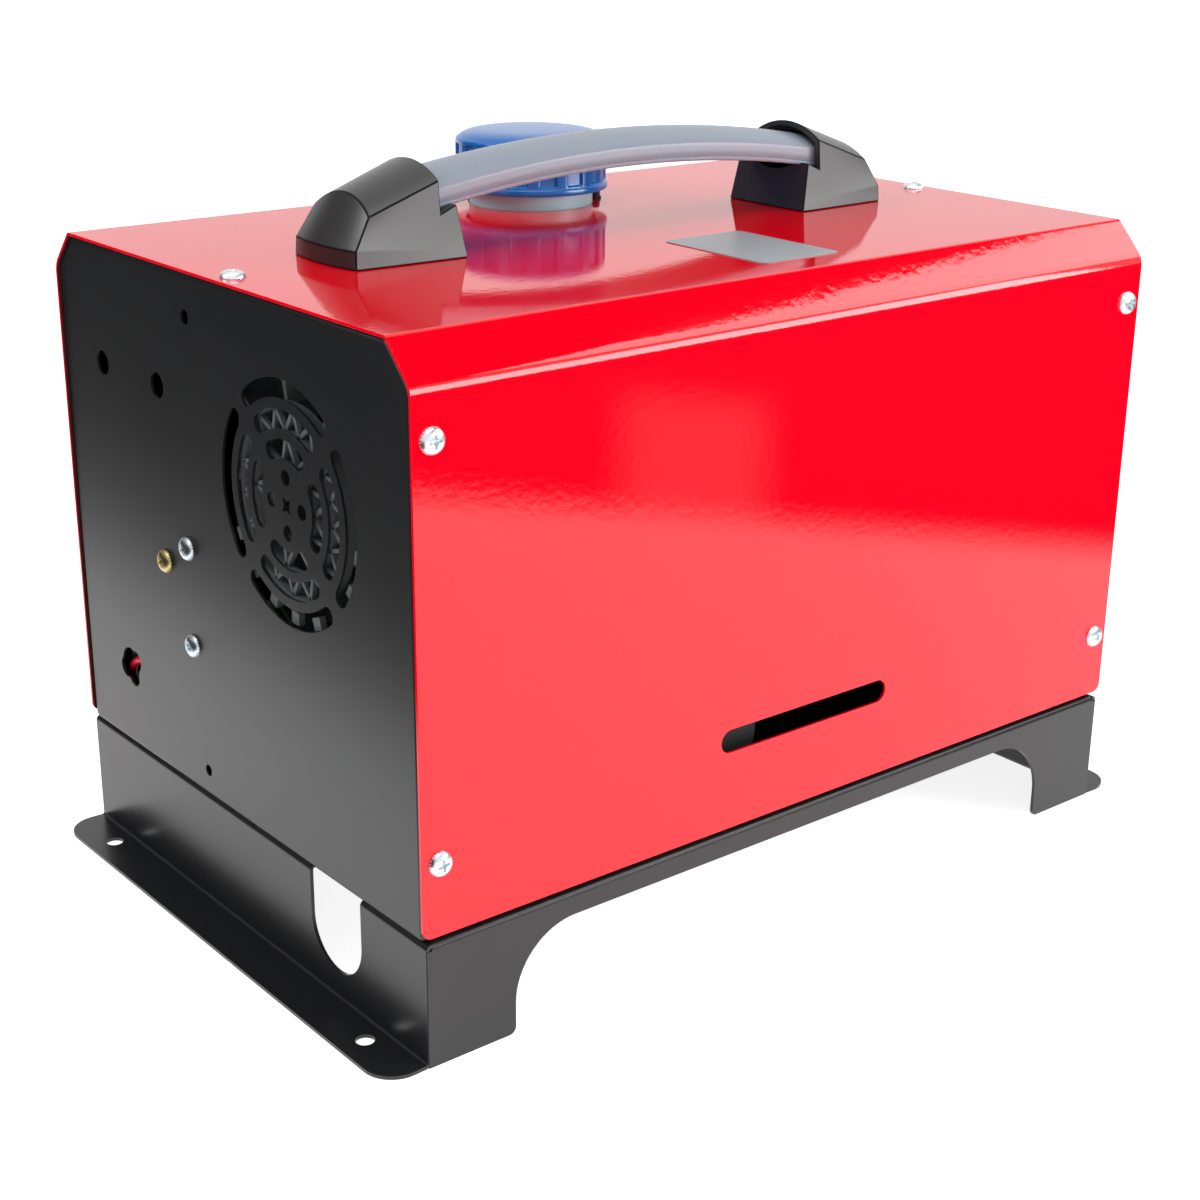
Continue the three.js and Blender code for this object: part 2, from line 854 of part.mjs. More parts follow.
// The vaulted cross-section of the hood, sloping down towards the nose.
function archPrism(x0, x1, slope, reference, top) {
  const { halfWidth: foot, crownWidth, sideHeight, crownHeight } = handle;
  const points = [at(-foot - 0.8, -10), at(foot + 0.8, -10)];
  const sagitta = crownHeight - sideHeight;
  const radius = (crownWidth * crownWidth + sagitta * sagitta) / (2 * sagitta);
  const half = Math.asin(crownWidth / radius);
  const steps = 8;
  for (let i = 0; i <= steps; i++) {
    const angle = half - (2 * half * i) / steps;
    points.push(at(radius * Math.sin(angle), crownHeight - radius + radius * Math.cos(angle)));
  }
  const geometry = new THREE.ExtrudeGeometry(new THREE.Shape(points), {
    depth: x1 - x0,
    bevelEnabled: false,
  });
  placed(geometry, Y, Z, X, vec(x0, 0, 0));
  const shear = new THREE.Matrix4().set(
    1, 0, 0, 0,
    0, 1, 0, 0,
    -slope, 0, 1, slope * reference,
    0, 0, 0, 1,
  );
  return solid(geometry.applyMatrix4(shear).translate(0, 0, top));
}

// Height of the strap's underside above the cover at a distance along it.
function strapHeight(x) {
  return strap.middle - (strap.sag * x * x) / (strap.halfSpan * strap.halfSpan);
}

// The strap's section, swept along a shallow arch; grow widens it for its channel.
function strapSolid(grow, reach) {
  const half = strap.halfWidth + grow;
  const low = -grow;
  const high = strap.side + grow;
  const crown = strap.crown;
  const outline = [at(-half, low), at(half, low), at(half, high)];
  const steps = 6;
  for (let i = 1; i < steps; i++) {
    const across = 1 - (2 * i) / steps;
    outline.push(at(across * half, high + crown * (1 - across * across)));
  }
  outline.push(at(-half, high));
  const cells = strap.steps;
  const count = outline.length;
  const position = [];
  for (let i = 0; i <= cells; i++) {
    const x = -reach + (2 * reach * i) / cells;
    const slope = (-2 * strap.sag * x) / (strap.halfSpan * strap.halfSpan);
    const length = Math.hypot(1, slope);
    for (const point of outline) {
      const rise = point.y;
      position.push(x - (slope / length) * rise, point.x, coverTop + strapHeight(x) + rise / length);
    }
  }
  const index = [];
  for (let i = 0; i < cells; i++) {
    for (let j = 0; j < count; j++) {
      const a = i * count + j;
      const b = i * count + ((j + 1) % count);
      index.push(a, b, a + count, b, b + count, a + count);
    }
  }
  for (const face of THREE.ShapeUtils.triangulateShape(outline, [])) {
    const [a, b, c] = face;
    const last = cells * count;
    index.push(a, c, b, last + a, last + b, last + c);
  }
  const geometry = new THREE.BufferGeometry();
  geometry.setAttribute("position", new THREE.Float32BufferAttribute(position, 3));
  geometry.setIndex(index);
  return solid(geometry);
}

function handleStrap() {
  const boltX = handle.inner + handle.boltFromInner;
  let body = strapSolid(0, strap.halfLength);
  for (const end of [-1, 1]) {
    const top = coverTop + strapHeight(boltX) + 4 + fit;
    body = cut(body, barZ(handle.boltRadius + fit, coverTop, top, end * boltX, 0, 12));
  }
  return body;
}

function handleBolt() {
  const boltX = handle.inner + handle.boltFromInner;
  const bottom = underCover - fit;
  const top = coverTop + strapHeight(boltX) + 4;
  return joined(
    barZ(handle.boltHead, bottom - 4, bottom, boltX, 0, 6),
    barZ(handle.boltRadius, bottom - 0.01, top, boltX, 0, 12),
  );
}

// ---------------------------------------------------------------- fuel tank and cap

const neckTop = coverTop + filler.height;
const spigotZ = tankBottom + tank.spigotAbove;

function tankBlock(shrink) {
  const shape = rounded(
    rectangle(
      tank.left + shrink,
      tank.right - shrink,
      tank.front + shrink,
      tank.back - shrink,
    ),
    tank.corner - shrink,
  );
  return alongZ(shape, tankBottom + shrink + tank.bevel, tankTop - shrink - tank.bevel, {
    bevelEnabled: true,
    bevelThickness: tank.bevel,
    bevelSize: tank.bevel,
    bevelOffset: -tank.bevel,
    bevelSegments: 2,
  });
}

function fuelTank() {
  const { x, y, radius, bore } = filler;
  const spigotEnd = tank.left - tank.spigotLength;
  return cut(
    joined(
      tankBlock(0),
      barZ(radius, tankTop - 4, neckTop, x, y, 32),
      neckThread(),
      barX(pipe.spigotRadius * 2, tank.left - 4, tank.left + 2, tank.spigotY, spigotZ, 12),
      barX(pipe.spigotRadius, spigotEnd, tank.left + 2, tank.spigotY, spigotZ, 12),
    ),
    tankBlock(tank.wall),
    barZ(bore, tankTop - tank.wall - 4, neckTop + 1, x, y, 32),
  );
}

// The raised screw thread on the neck, one ridge climbing round it.
function neckThread() {
  const { radius, thread, pitch, turns, x, y } = filler;
  const perTurn = 16;
  const steps = turns * perTurn;
  const start = coverTop + cap.bottom + 2;
  const half = 1.1;
  const section = [
    [-0.6, -half],
    [thread, -half / 3],
    [thread, half / 3],
    [-0.6, half],
  ];
  const position = [];
  for (let i = 0; i <= steps; i++) {
    const angle = (2 * Math.PI * i) / perTurn;
    for (const [out, up] of section) {
      const r = radius + out;
      position.push(x + r * Math.cos(angle), y + r * Math.sin(angle), start + (pitch * i) / perTurn + up);
    }
  }
  const index = [];
  for (let i = 0; i < steps; i++) {
    for (let j = 0; j < 4; j++) {
      const a = i * 4 + j;
      const b = i * 4 + ((j + 1) % 4);
      index.push(a, a + 4, b, b, a + 4, b + 4);
    }
  }
  const last = steps * 4;
  index.push(0, 1, 2, 0, 2, 3, last, last + 2, last + 1, last, last + 3, last + 2);
  const geometry = new THREE.BufferGeometry();
  geometry.setAttribute("position", new THREE.Float32BufferAttribute(position, 3));
  geometry.setIndex(index);
  return solid(geometry);
}

const capCeiling = filler.height + cap.sealThickness + 2 * fit;

function fuelCap() {
  const { radius, ribRadius, landDepth, ribs, bottom, lip, shoulder, height, bore } = cap;
  const dome = [
    [0, height - 8],
    [ribRadius - 0.2, height - 8],
    [ribRadius - 0.4, shoulder],
    [ribRadius - 2.4, shoulder + (height - shoulder) * 0.55],
    [ribRadius * 0.6, height - 0.4],
    [0, height],
  ];
  const landWidth = ((2 * Math.PI * ribRadius) / ribs) * 0.55;
  const skirt = alongZ(
    toothed(ribRadius - landDepth, ribRadius, ribs, landWidth, 0, 0),
    bottom + lip - 0.5,
    height - 7,
  );
  const rim = barZ(radius, bottom, bottom + lip, 0, 0, 32);
  const body = joined(solid(turned(dome, 32)), skirt, rim);
  return cut(body, barZ(bore, bottom - 1, capCeiling, 0, 0, 32));
}

function capSeal() {
  const ring = new THREE.Shape(circlePoints(cap.bore - fit, 32));
  ring.holes.push(new THREE.Path(circlePoints(filler.bore - 1, 32)));
  return alongZ(ring, filler.height + fit, filler.height + fit + cap.sealThickness);
}

function ventPlugSolid() {
  const { radius, height, stem } = ventPlug;
  const under = cover.sheet + fit;
  return solid(
    turned(
      [
        [0, -stem],
        [radius - 2 * fit, -stem],
        [radius - 2 * fit, 0.05],
        [radius + 0.6, 0.05],
        [radius + 0.6, under],
        [radius, under + 0.6],
        [radius * 0.8, height],
        [0, height + 0.4],
      ],
      12,
    ),
  );
}

// ---------------------------------------------------------------- fuel lines, filter and pump

const panelInside = -halfLength + endPlate.inset + endPlate.sheet;
const pumpFront = pump.y - pump.length / 2;
const pumpBack = pump.y + pump.length / 2;
const filterFront = filter.y - filter.length / 2;
const filterBack = filter.y + filter.length / 2;

function fuelLineTank() {
  const from = vec(tank.left - tank.spigotLength - fit, tank.spigotY, spigotZ);
  const to = vec(filter.x, filterBack + filter.barb + fit, filterZ);
  return tube(
    [
      from,
      vec(from.x - 5, from.y, from.z),
      vec(filter.x + 9, from.y - 1, (from.z + filterZ) / 2),
      vec(filter.x + 1, to.y + 9, filterZ),
      vec(to.x, to.y + 3, to.z),
      to,
    ],
    pipe.fuelRadius,
    14,
    7,
  );
}

function fuelLinePump() {
  const from = vec(filter.x, filterFront - filter.barb - fit, filterZ);
  const to = vec(pump.x, pumpFront - pump.barb - fit, pumpZ);
  const turnY = Math.min(from.y, to.y) - 16;
  return tube(
    [
      from,
      vec(from.x, from.y - 6, from.z),
      vec((from.x + to.x) / 2, turnY - 4, from.z + 12),
      vec(to.x, turnY - 8, (from.z + to.z) / 2),
      vec(to.x, turnY, to.z - 10),
      vec(to.x, to.y - 5, to.z),
      to,
    ],
    pipe.fuelRadius,
    22,
    7,
  );
}

const inletX = -70;
const inletY = vent.y + shell.halfWidth + 9;
const inletZ = ventZ - 26;

function fuelLineBurner() {
  const from = vec(pump.x, pumpBack + pump.barb + fit, pumpZ);
  const to = vec(inletX - 8 - fit, inletY, inletZ);
  return tube(
    [
      from,
      vec(from.x, from.y + 6, from.z),
      vec(from.x + 14, from.y + 14, from.z + 8),
      vec(-138, from.y - 4, from.z + 18),
      vec(-132, 30, inletZ - 2),
      vec(-118, inletY + 2, inletZ),
      vec(to.x - 12, inletY, inletZ),
      to,
    ],
    pipe.fuelRadius,
    28,
    7,
  );
}

function fuelFilter() {
  const { x, y, length, radius, barb } = filter;
  const half = length / 2;
  return solid(
    turned(
      [
        [0, -half - barb],
        [pipe.spigotRadius, -half - barb],
        [pipe.spigotRadius, -half],
        [radius * 0.7, -half],
        [radius, -half + 4],
        [radius, half - 4],
        [radius * 0.7, half],
        [pipe.spigotRadius, half],
        [pipe.spigotRadius, half + barb],
        [0, half + barb],
      ],
      16,
    ),
  )
    .rotate([90, 0, 0])
    .translate([x, y, filterZ]);
}

const plungerFront = pumpFront + 8;

function pumpBody() {
  const { x, radius, length, barb, bore, plungerLength, stroke } = pump;
  const half = length / 2;
  const outside = solid(
    turned(
      [
        [0, -half - barb],
        [pipe.spigotRadius, -half - barb],
        [pipe.spigotRadius, -half],
        [radius * 0.62, -half],
        [radius * 0.62, -half + 7],
        [radius, -half + 7],
        [radius, half - 10],
        [radius * 0.75, half - 10],
        [radius * 0.75, half],
        [pipe.spigotRadius, half],
        [pipe.spigotRadius, half + barb],
        [0, half + barb],
      ],
      20,
    ),
  )
    .rotate([-90, 0, 0])
    .translate([x, pump.y, pumpZ]);
  const boreEnd = plungerFront + plungerLength + stroke + fit;
  return cut(
    outside,
    rod(bore, vec(x, plungerFront - fit, pumpZ), vec(x, boreEnd, pumpZ), 16),
    rod(pipe.fuelBore, vec(x, boreEnd - 1, pumpZ), vec(x, pumpBack + barb + 1, pumpZ), 8),
  );
}

function pumpPlunger() {
  const { x, bore, plungerLength } = pump;
  const from = vec(x, plungerFront, pumpZ);
  return rod(bore - fit, from, from.clone().setY(plungerFront + plungerLength), 16);
}

// A band round the pump with an ear above and below, screwed to the end plate.
function pumpClamp() {
  const { x, y, radius, clampWall, clampWidth, earSpacing } = pump;
  const z = pumpZ;
  const left = panelInside + fit;
  const y0 = y - clampWidth / 2;
  const y1 = y + clampWidth / 2;
  const inner = radius + fit;
  const band = rod(inner + clampWall, vec(x, y0, z), vec(x, y1, z), 24);
  const earHeight = earSpacing / 2 + 6;
  const ears = block(left, left + clampWall, y0, y1, z - earHeight, z + earHeight);
  const bridge = block(left, x, y0, y1, z - inner * 0.6, z + inner * 0.6);
  let clamp = cut(
    joined(band, ears, bridge),
    rod(inner, vec(x, y0 - 1, z), vec(x, y1 + 1, z), 24),
  );
  for (const side of [-1, 1]) {
    clamp = cut(clamp, barX(rimHole, left - 1, left + 4, y, z + (side * earSpacing) / 2, 10));
  }
  return clamp;
}

// ---------------------------------------------------------------- heater unit

const shellBottom = ventZ - shell.halfHeight;
const shellTop = ventZ + shell.halfHeight;

function shellBlock(shrink, x0, x1) {
  const shape = rounded(
    rectangle(
      vent.y - shell.halfWidth + shrink,
      vent.y + shell.halfWidth - shrink,
      shellBottom + shrink,
      ventZ + shell.halfHeight - shrink,
    ),
    shell.corner - shrink,
    4,
  );
  return alongX(shape, x0, x1);
}

function heaterShell(side) {
  const whole = cut(
    shellBlock(0, shell.left, shell.right),
    shellBlock(shell.wall, shell.left - 1, shell.right + 1),
  );
  const far = 100;
  const gap = shell.seam / 2;
  const keep =
    side > 0
      ? block(shell.left - 1, shell.right + 1, vent.y - far, vent.y + far, ventZ + gap, ventZ + far)
      : block(shell.left - 1, shell.right + 1, vent.y - far, vent.y + far, ventZ - far, ventZ - gap);
  return whole.intersect(keep);
}

function heaterShellLower() {
  const wallY = vent.y + shell.halfWidth;
  const inlet = joined(
    rod(pipe.spigotRadius, vec(inletX, wallY - 1, inletZ), vec(inletX, inletY + 2.2, inletZ), 10),
    barX(pipe.spigotRadius, inletX - 8, inletX + 2.2, inletY, inletZ, 10),
  );
  return cut(
    joined(heaterShell(-1), inlet),
    barZ(flue.radius + fit, shellBottom - 1, shellBottom + 6, flue.x, flue.y),
    barZ(airPipe.radius + fit, shellBottom - 1, shellBottom + 6, airPipe.x, airPipe.y),
  );
}

// The black plastic intake guard: a ring with a notched rim, spokes and two hoops.
function intakeGrille() {
  const { front, radius, wall, spokes, ribWidth, merlon } = grille;
  const rim = toothed(radius - 3, radius, merlon, 9, vent.y, ventZ);
  const back = shell.left - fit;
  const ringAt = (r, w, x0, x1, sides = 24) => {
    const shape = circleShape(r, sides, vent.y, ventZ);
    shape.holes.push(new THREE.Path(circlePoints(r - w, sides, vent.y, ventZ)));
    return alongX(shape, x0, x1);
  };
  let guard = joined(
    cut(alongX(rim, front + 4, front + 9), barX(radius - 6, front, front + 12, vent.y, ventZ)),
    ringAt(radius - 2, wall + 1.5, front + 8, back),
    ringAt(15, ribWidth + 3, front, front + 5, 16),
  );
  for (let i = 0; i < spokes; i++) {
    for (const lean of [-0.42, 0.42]) {
      const angle = (2 * Math.PI * (i + 0.5)) / spokes;
      const inner = at(Math.cos(angle), Math.sin(angle)).multiplyScalar(13);
      const outer = at(Math.cos(angle + lean), Math.sin(angle + lean)).multiplyScalar(radius - 3);
      guard = joined(guard, gratingRib(inner, outer, front + 1, front + 5 + wall, ribWidth));
    }
  }
  return guard;
}

function gratingRib(from, to, x0, x1, width) {
  const side = to.clone().sub(from).normalize().rotateAround(at(0, 0), Math.PI / 2);
  side.multiplyScalar(width / 2);
  const corners = [
    from.clone().sub(side),
    to.clone().sub(side),
    to.clone().add(side),
    from.clone().add(side),
  ];
  const shape = new THREE.Shape(corners.map((c) => at(c.x + vent.y, c.y + ventZ)));
  return alongX(shape, x0, x1);
}

// The hood that narrows from the heater's square end to the round outlet.
function outletHood() {
  const steps = 24;
  const loop = (shrink, end) => {
    const points = [];
    for (let i = 0; i < steps; i++) {
      const angle = (2 * Math.PI * (i + 0.5)) / steps;
      const c = Math.cos(angle);
      const s = Math.sin(angle);
      const roundR = hood.radius - shrink;
      const power = end ? 2 : 5;
      const a = end ? roundR : shell.halfWidth - 1 - shrink;
      const b = end ? roundR : shell.halfHeight - 1 - shrink;
      const scale = (Math.abs(c / a) ** power + Math.abs(s / b) ** power) ** (-1 / power);
      points.push(at(vent.y + scale * c, ventZ + scale * s));
    }
    return points;
  };
  const sections = (shrink, spill) => [
    [shell.right + fit - spill, loop(shrink, false)],
    [shell.right + 12, loop(shrink, false)],
    [hood.end - 16, loop(shrink, true)],
    [hood.end + spill, loop(shrink, true)],
  ];
  return cut(lofted(sections(0, 0)), lofted(sections(hood.wall, 1)));
}

// A closed skin through matching loops standing across X.
function lofted(sections) {
  const count = sections[0][1].length;
  const position = [];
  const index = [];
  for (const [x, loop] of sections) {
    for (const point of loop) position.push(x, point.x, point.y);
  }
  for (let i = 0; i < sections.length - 1; i++) {
    for (let j = 0; j < count; j++) {
      const a = i * count + j;
      const b = i * count + ((j + 1) % count);
      index.push(a, b, a + count, b, b + count, a + count);
    }
  }
  const last = (sections.length - 1) * count;
  for (const [a, b, c] of THREE.ShapeUtils.triangulateShape(sections[0][1], [])) {
    index.push(a, c, b, last + a, last + b, last + c);
  }
  const geometry = new THREE.BufferGeometry();
  geometry.setAttribute("position", new THREE.Float32BufferAttribute(position, 3));
  geometry.setIndex(index);
  return solid(geometry);
}

function heatExchanger() {
  const { left, right, core, fins, fin, finWidth, bore } = exchanger;
  const finned = alongX(toothed(core, fin, fins, finWidth, vent.y, ventZ, 0.1), left, right);
  const stubBottom = shellBottom + shell.wall + fit;
  const stubTop = ventZ - 12;
  const stub = barZ(flue.radius + 1, stubBottom, stubTop, flue.x, flue.y);
  return cut(
    joined(finned, stub),
    barX(bore, left - 1, right - 6, vent.y, ventZ, 24),
    barZ(flue.radius - flue.wall, stubBottom - 1, stubTop - 1, flue.x, flue.y),
    glowPlug().hole,
  );
}

function burnerTube() {
  const { left, right, radius, wall, flange, flangeThickness } = burner;
  const body = joined(
    barX(radius, left, right, vent.y, ventZ, 24),
    barX(flange, left, left + flangeThickness, vent.y, ventZ, 24),
  );
  const plug = glowPlug();
  return cut(
    body,
    barX(radius - wall, left + flangeThickness + 4, right + 1, vent.y, ventZ, 24),
    barX(motor.shaft + fit, left - 1, left + 10, vent.y, ventZ, 12),
    plug.hole,
  );
}

function glowPlug() {
  const x = burner.left + burner.flangeThickness + 3.6;
  const top = ventZ + shell.halfHeight - shell.wall - 2;
  const make = (grow) =>
    joined(
      barZ(2.4 + grow, ventZ + 8, ventZ + 26, x, vent.y, 10),
      barZ(4 + grow, ventZ + 24, top + (grow ? 1 : 0), x, vent.y, 10),
    );
  return { body: make(0), hole: make(fit) };
}

const motorLeft = motor.left;
const motorRight = motor.left + motor.length;
const rotorLeft = airFan.left - 2;
const rotorRight = sideFan.left + sideFan.length + 1;

function blowerMotor() {
  const footLeft = motorRight - 15;
  const footRight = motorRight - 7;
  const can = joined(
    barX(motor.radius, motorLeft, motorRight, vent.y, ventZ, 24),
    block(footLeft, footRight, vent.y - 4, vent.y + 4, shellBottom + shell.wall + fit, ventZ),
    block(footLeft, footRight, vent.y - 4, vent.y + 4, ventZ, shellTop - shell.wall - fit),
  );
  return cut(can, barX(motor.shaft + fit, motorLeft - 1, motorRight + 1, vent.y, ventZ, 12));
}

function blowerShaft() {
  return barX(motor.shaft, rotorLeft, rotorRight, vent.y, ventZ, 12);
}

// A fan wheel: a hub and a back plate with upright blades, bored for the shaft.
function fanWheel(fan, plateAt, twist) {
  const right = fan.left + fan.length;
  const blades = toothed(fan.hub, fan.radius, fan.blades, fan.bladeWidth, 0, 0);
  const depth = fan.length;
  const geometry = new THREE.ExtrudeGeometry(blades, { depth, bevelEnabled: false, steps: twist ? 2 : 1 });
  const position = geometry.attributes.position;
  for (let i = 0; i < position.count; i++) {
    const point = vec(position.getX(i), position.getY(i), position.getZ(i));
    point.applyAxisAngle(Z, (twist * point.z) / depth);
    position.setXYZ(i, point.x, point.y, point.z);
  }
  const bladed = solid(placed(geometry, Y, Z, X, vec(fan.left, vent.y, ventZ)));
  const plate = plateAt === null ? null : barX(fan.radius, plateAt, plateAt + 2, vent.y, ventZ, 24);
  const hub = barX(fan.hub + 0.4, fan.left, right, vent.y, ventZ, 20);
  const wheel = plate ? joined(bladed, hub, plate) : joined(bladed, hub);
  return cut(wheel, barX(motor.shaft + fit / 3, fan.left - 1, right + 1, vent.y, ventZ, 12));
}

const standTop = shellBottom - stand.gasket - 2 * fit;

function heaterStand() {
  const { left, right, sheet, front, back, foot, bend } = stand;
  const top = standTop;
  const bottom = deckTop + fit;
  const profile = folded(
    [
      at(front - 0.1 + foot + sheet, bottom + sheet),
      at(front + sheet, bottom + sheet),
      at(front + sheet, top - sheet),
      at(back - sheet, top - sheet),
      at(back - sheet, bottom + sheet),
      at(back - sheet - foot, bottom + sheet),
    ].reverse(),
    sheet,
    bend,
  );
  const bridge = alongX(profile, left, right);
  const corner = new THREE.Shape([at(right - stand.corner, bottom + sheet)]);
  corner.setFromPoints([
    at(right + 1, bottom + 6),
    at(right + 1, bottom + 6 + stand.corner),
    at(right, bottom + 6 + stand.corner),
    ...Array.from({ length: 4 }, (_, i) => {
      const angle = (-(i + 1) * Math.PI) / 10;
      const r = stand.corner;
      return at(right - r + r * Math.cos(angle), bottom + 6 + r + r * Math.sin(angle));
    }),
    at(right - stand.corner, bottom + 6),
  ]);
  return cut(
    bridge,
    alongY(corner, front - 2, front + sheet + 2),
    barZ(flue.radius + fit, top - 4, top + 1, flue.x, flue.y),
    barZ(airPipe.radius + fit, top - 4, top + 1, airPipe.x, airPipe.y),
  );
}

function standGasket() {
  const shape = rounded(
    rectangle(airPipe.x - 20, flue.x + 15, flue.y - 20, flue.y + 38),
    6,
  );
  const pad = alongZ(shape, standTop + fit, shellBottom - fit);
  return cut(
    pad,
    barZ(flue.radius + fit, standTop - 1, shellBottom + 1, flue.x, flue.y),
    barZ(airPipe.radius + fit, standTop - 1, shellBottom + 1, airPipe.x, airPipe.y),
  );
}

function openPipe(at_, top, sides = 20) {
  const bottom = deckTop - at_.below;
  return cut(
    barZ(at_.radius, bottom, top, at_.x, at_.y, sides),
    barZ(at_.radius - at_.wall, bottom - 1, top + 1, at_.x, at_.y, sides),
  );
}

function controlBoard() {
  const { left, right, y, width, above, thickness } = board;
  const bottom = shellBottom + shell.wall + fit;
  const plate = block(left, right, y - width / 2, y + width / 2, bottom + above, bottom + above + thickness);
  let made = plate;
  for (const x of [left + 4, right - 4]) {
    for (const side of [-1, 1]) {
      const postY = y + side * (width / 2 - 5);
      made = joined(made, barZ(2, bottom, bottom + above + 0.5, x, postY, 8));
    }
  }
  const upper = bottom + above + thickness - 0.1;
  return joined(
    made,
    block(left + 6, left + 16, y - 20, y + 4, upper, upper + 1.8),
    block(right - 18, right - 8, y - 18, y - 4, upper, upper + 6),
    barZ(4, upper, upper + 9, right - 12, y + 12, 12),
  );
}

// ---------------------------------------------------------------- outlet and controls

const panelOutside = halfLength - endPlate.inset;
const controllerY = halfWidth - controller.fromBack;
const controllerZ = coverTop - controller.fromTop;

function outletRing() {
  const { radius, wall, flange, flangeThickness, length } = outlet;
  const outside = joined(
    barX(radius + wall, hood.end + fit, panelOutside + length, vent.y, ventZ, 28),
    barX(flange, panelOutside + fit / 2, panelOutside + fit / 2 + flangeThickness, vent.y, ventZ, 28),
  );
  return cut(outside, barX(radius, hood.end - 1, panelOutside + length + 1, vent.y, ventZ, 28));
}

// The turning nozzle: a ring with slanted blades across it.
function outletLouvre() {
  const outer = outlet.radius - fit;
  const inner = outer - 2;
  const x0 = panelOutside - 8;
  const x1 = panelOutside + outlet.length + 1.5;
  const ring = cut(
    barX(outer, x0, x1, vent.y, ventZ, 28),
    barX(inner, x0 - 1, x1 + 1, vent.y, ventZ, 28),
  );
  const blades = 5;
  const pitch = (2 * inner) / (blades + 1);
  const core = barX(inner + 0.8, x0 + 1, x1, vent.y, ventZ, 28);
  let made = ring;
  for (let i = 1; i <= blades; i++) {
    const z = ventZ - inner + pitch * i;
    const lean = 5;
    const shape = new THREE.Shape([
      at(x0 + 3, z + lean - 0.9),
      at(x1 - 1, z - lean - 0.9),
      at(x1 - 1, z - lean + 0.9),
      at(x0 + 3, z + lean + 0.9),
    ]);
    made = joined(made, alongY(shape, vent.y - outer, vent.y + outer).intersect(core));
  }
  return joined(
    made,
    block(x0 + 6, x0 + 10, vent.y - 1.2, vent.y + 1.2, ventZ - inner - 0.5, ventZ + inner + 0.5),
  );
}

const controllerFront = panelOutside + fit / 2 + controller.depth;
const buttonZ = controllerZ - controller.buttonDrop;
const lensZ = controllerZ + controller.lensRise;

function buttonPlaces() {
  return [-1.5, -0.5, 0.5, 1.5].map((step) => controllerY + step * controller.buttonSpacing);
}

function controllerHousing() {
  const { width, height, corner, lensWidth, lensHeight, lensThickness } = controller;
  const y = controllerY;
  const z = controllerZ;
  const back = panelOutside + fit / 2;
  const shape = rounded(
    rectangle(y - width / 2, y + width / 2, z - height / 2, z + height / 2),
    corner,
  );
  let box = alongX(shape, back + 1.5, controllerFront - 1.5, {
    bevelEnabled: true,
    bevelThickness: 1.5,
    bevelSize: 1.5,
    bevelOffset: -1.5,
    bevelSegments: 1,
  });
  const window_ = rounded(
    rectangle(
      y - lensWidth / 2 - fit,
      y + lensWidth / 2 + fit,
      lensZ - lensHeight / 2 - fit,
      lensZ + lensHeight / 2 + fit,
    ),
    2,
  );
  const recess = controllerFront - lensThickness - fit;
  box = cut(box, alongX(window_, recess, controllerFront + 1));
  for (const buttonY of buttonPlaces()) {
    const hole = controller.buttonRadius + fit;
    const deep = controllerFront - controller.buttonDepth;
    box = cut(box, barX(hole, deep, controllerFront + 1, buttonY, buttonZ, 16));
  }
  return box;
}

function controllerLens() {
  const { lensWidth, lensHeight, lensThickness } = controller;
  const y = controllerY;
  const shape = rounded(
    rectangle(
      y - lensWidth / 2,
      y + lensWidth / 2,
      lensZ - lensHeight / 2,
      lensZ + lensHeight / 2,
    ),
    2,
  );
  return alongX(shape, controllerFront - lensThickness, controllerFront + 0.2);
}

function controllerButton() {
  const { buttonRadius, buttonDepth, buttonProud, travel } = controller;
  const x0 = controllerFront - buttonDepth + travel + fit;
  const x1 = controllerFront + buttonProud;
  return solid(
    turned(
      [
        [0, x0],
        [buttonRadius, x0],
        [buttonRadius, x1 - 0.8],
        [buttonRadius - 0.9, x1],
        [0, x1],
      ],
      16,
    ),
  ).rotate([0, 90, 0]);
}

// ---------------------------------------------------------------- wiring

// A lead from the heater's board, over the deck and past the cable hole. The second
// lead keeps to one side of the first, and that side turns with the route.
function powerLead(apart) {
  const x = panelInside + 6;
  const low = deckTop + endPlate.sheet + 2 * fit + pipe.leadRadius;
  const route = [
    [vec(shell.left + 8, -60, shellBottom - fit), vec(0, 1, 0)],
    [vec(shell.left + 7, -60, shellBottom - 30), vec(0, 1, 0)],
    [vec(shell.left, -58, low + 22), vec(0, 1, 0)],
    [vec(shell.left - 12, -46, low + 4), vec(0.5, 0.6, 0.5)],
    [vec(x + 8, -10, low), vec(0.5, 0, 0.87)],
    [vec(x + 4, 40, low + 6), vec(0.3, -0.2, 0.94)],
    [vec(x, 78, cableHole.z - 8), vec(0.3, -0.4, 0.87)],
    [vec(x, 92, cableHole.z - 1), vec(0.3, 0, 0.95)],
    [vec(x + 2, 106, cableHole.z - 9), vec(0.8, 0.3, 0.5)],
    [vec(x + 6, 114, low + 12), vec(0.9, 0.44, 0)],
    [vec(x + 7, 117, low), vec(0.9, 0.44, 0)],
  ];
  return tube(
    route.map(([point, aside]) => point.clone().addScaledVector(aside, apart)),
    pipe.leadRadius,
    26,
    6,
  );
}

// ---------------------------------------------------------------- materials and assembly

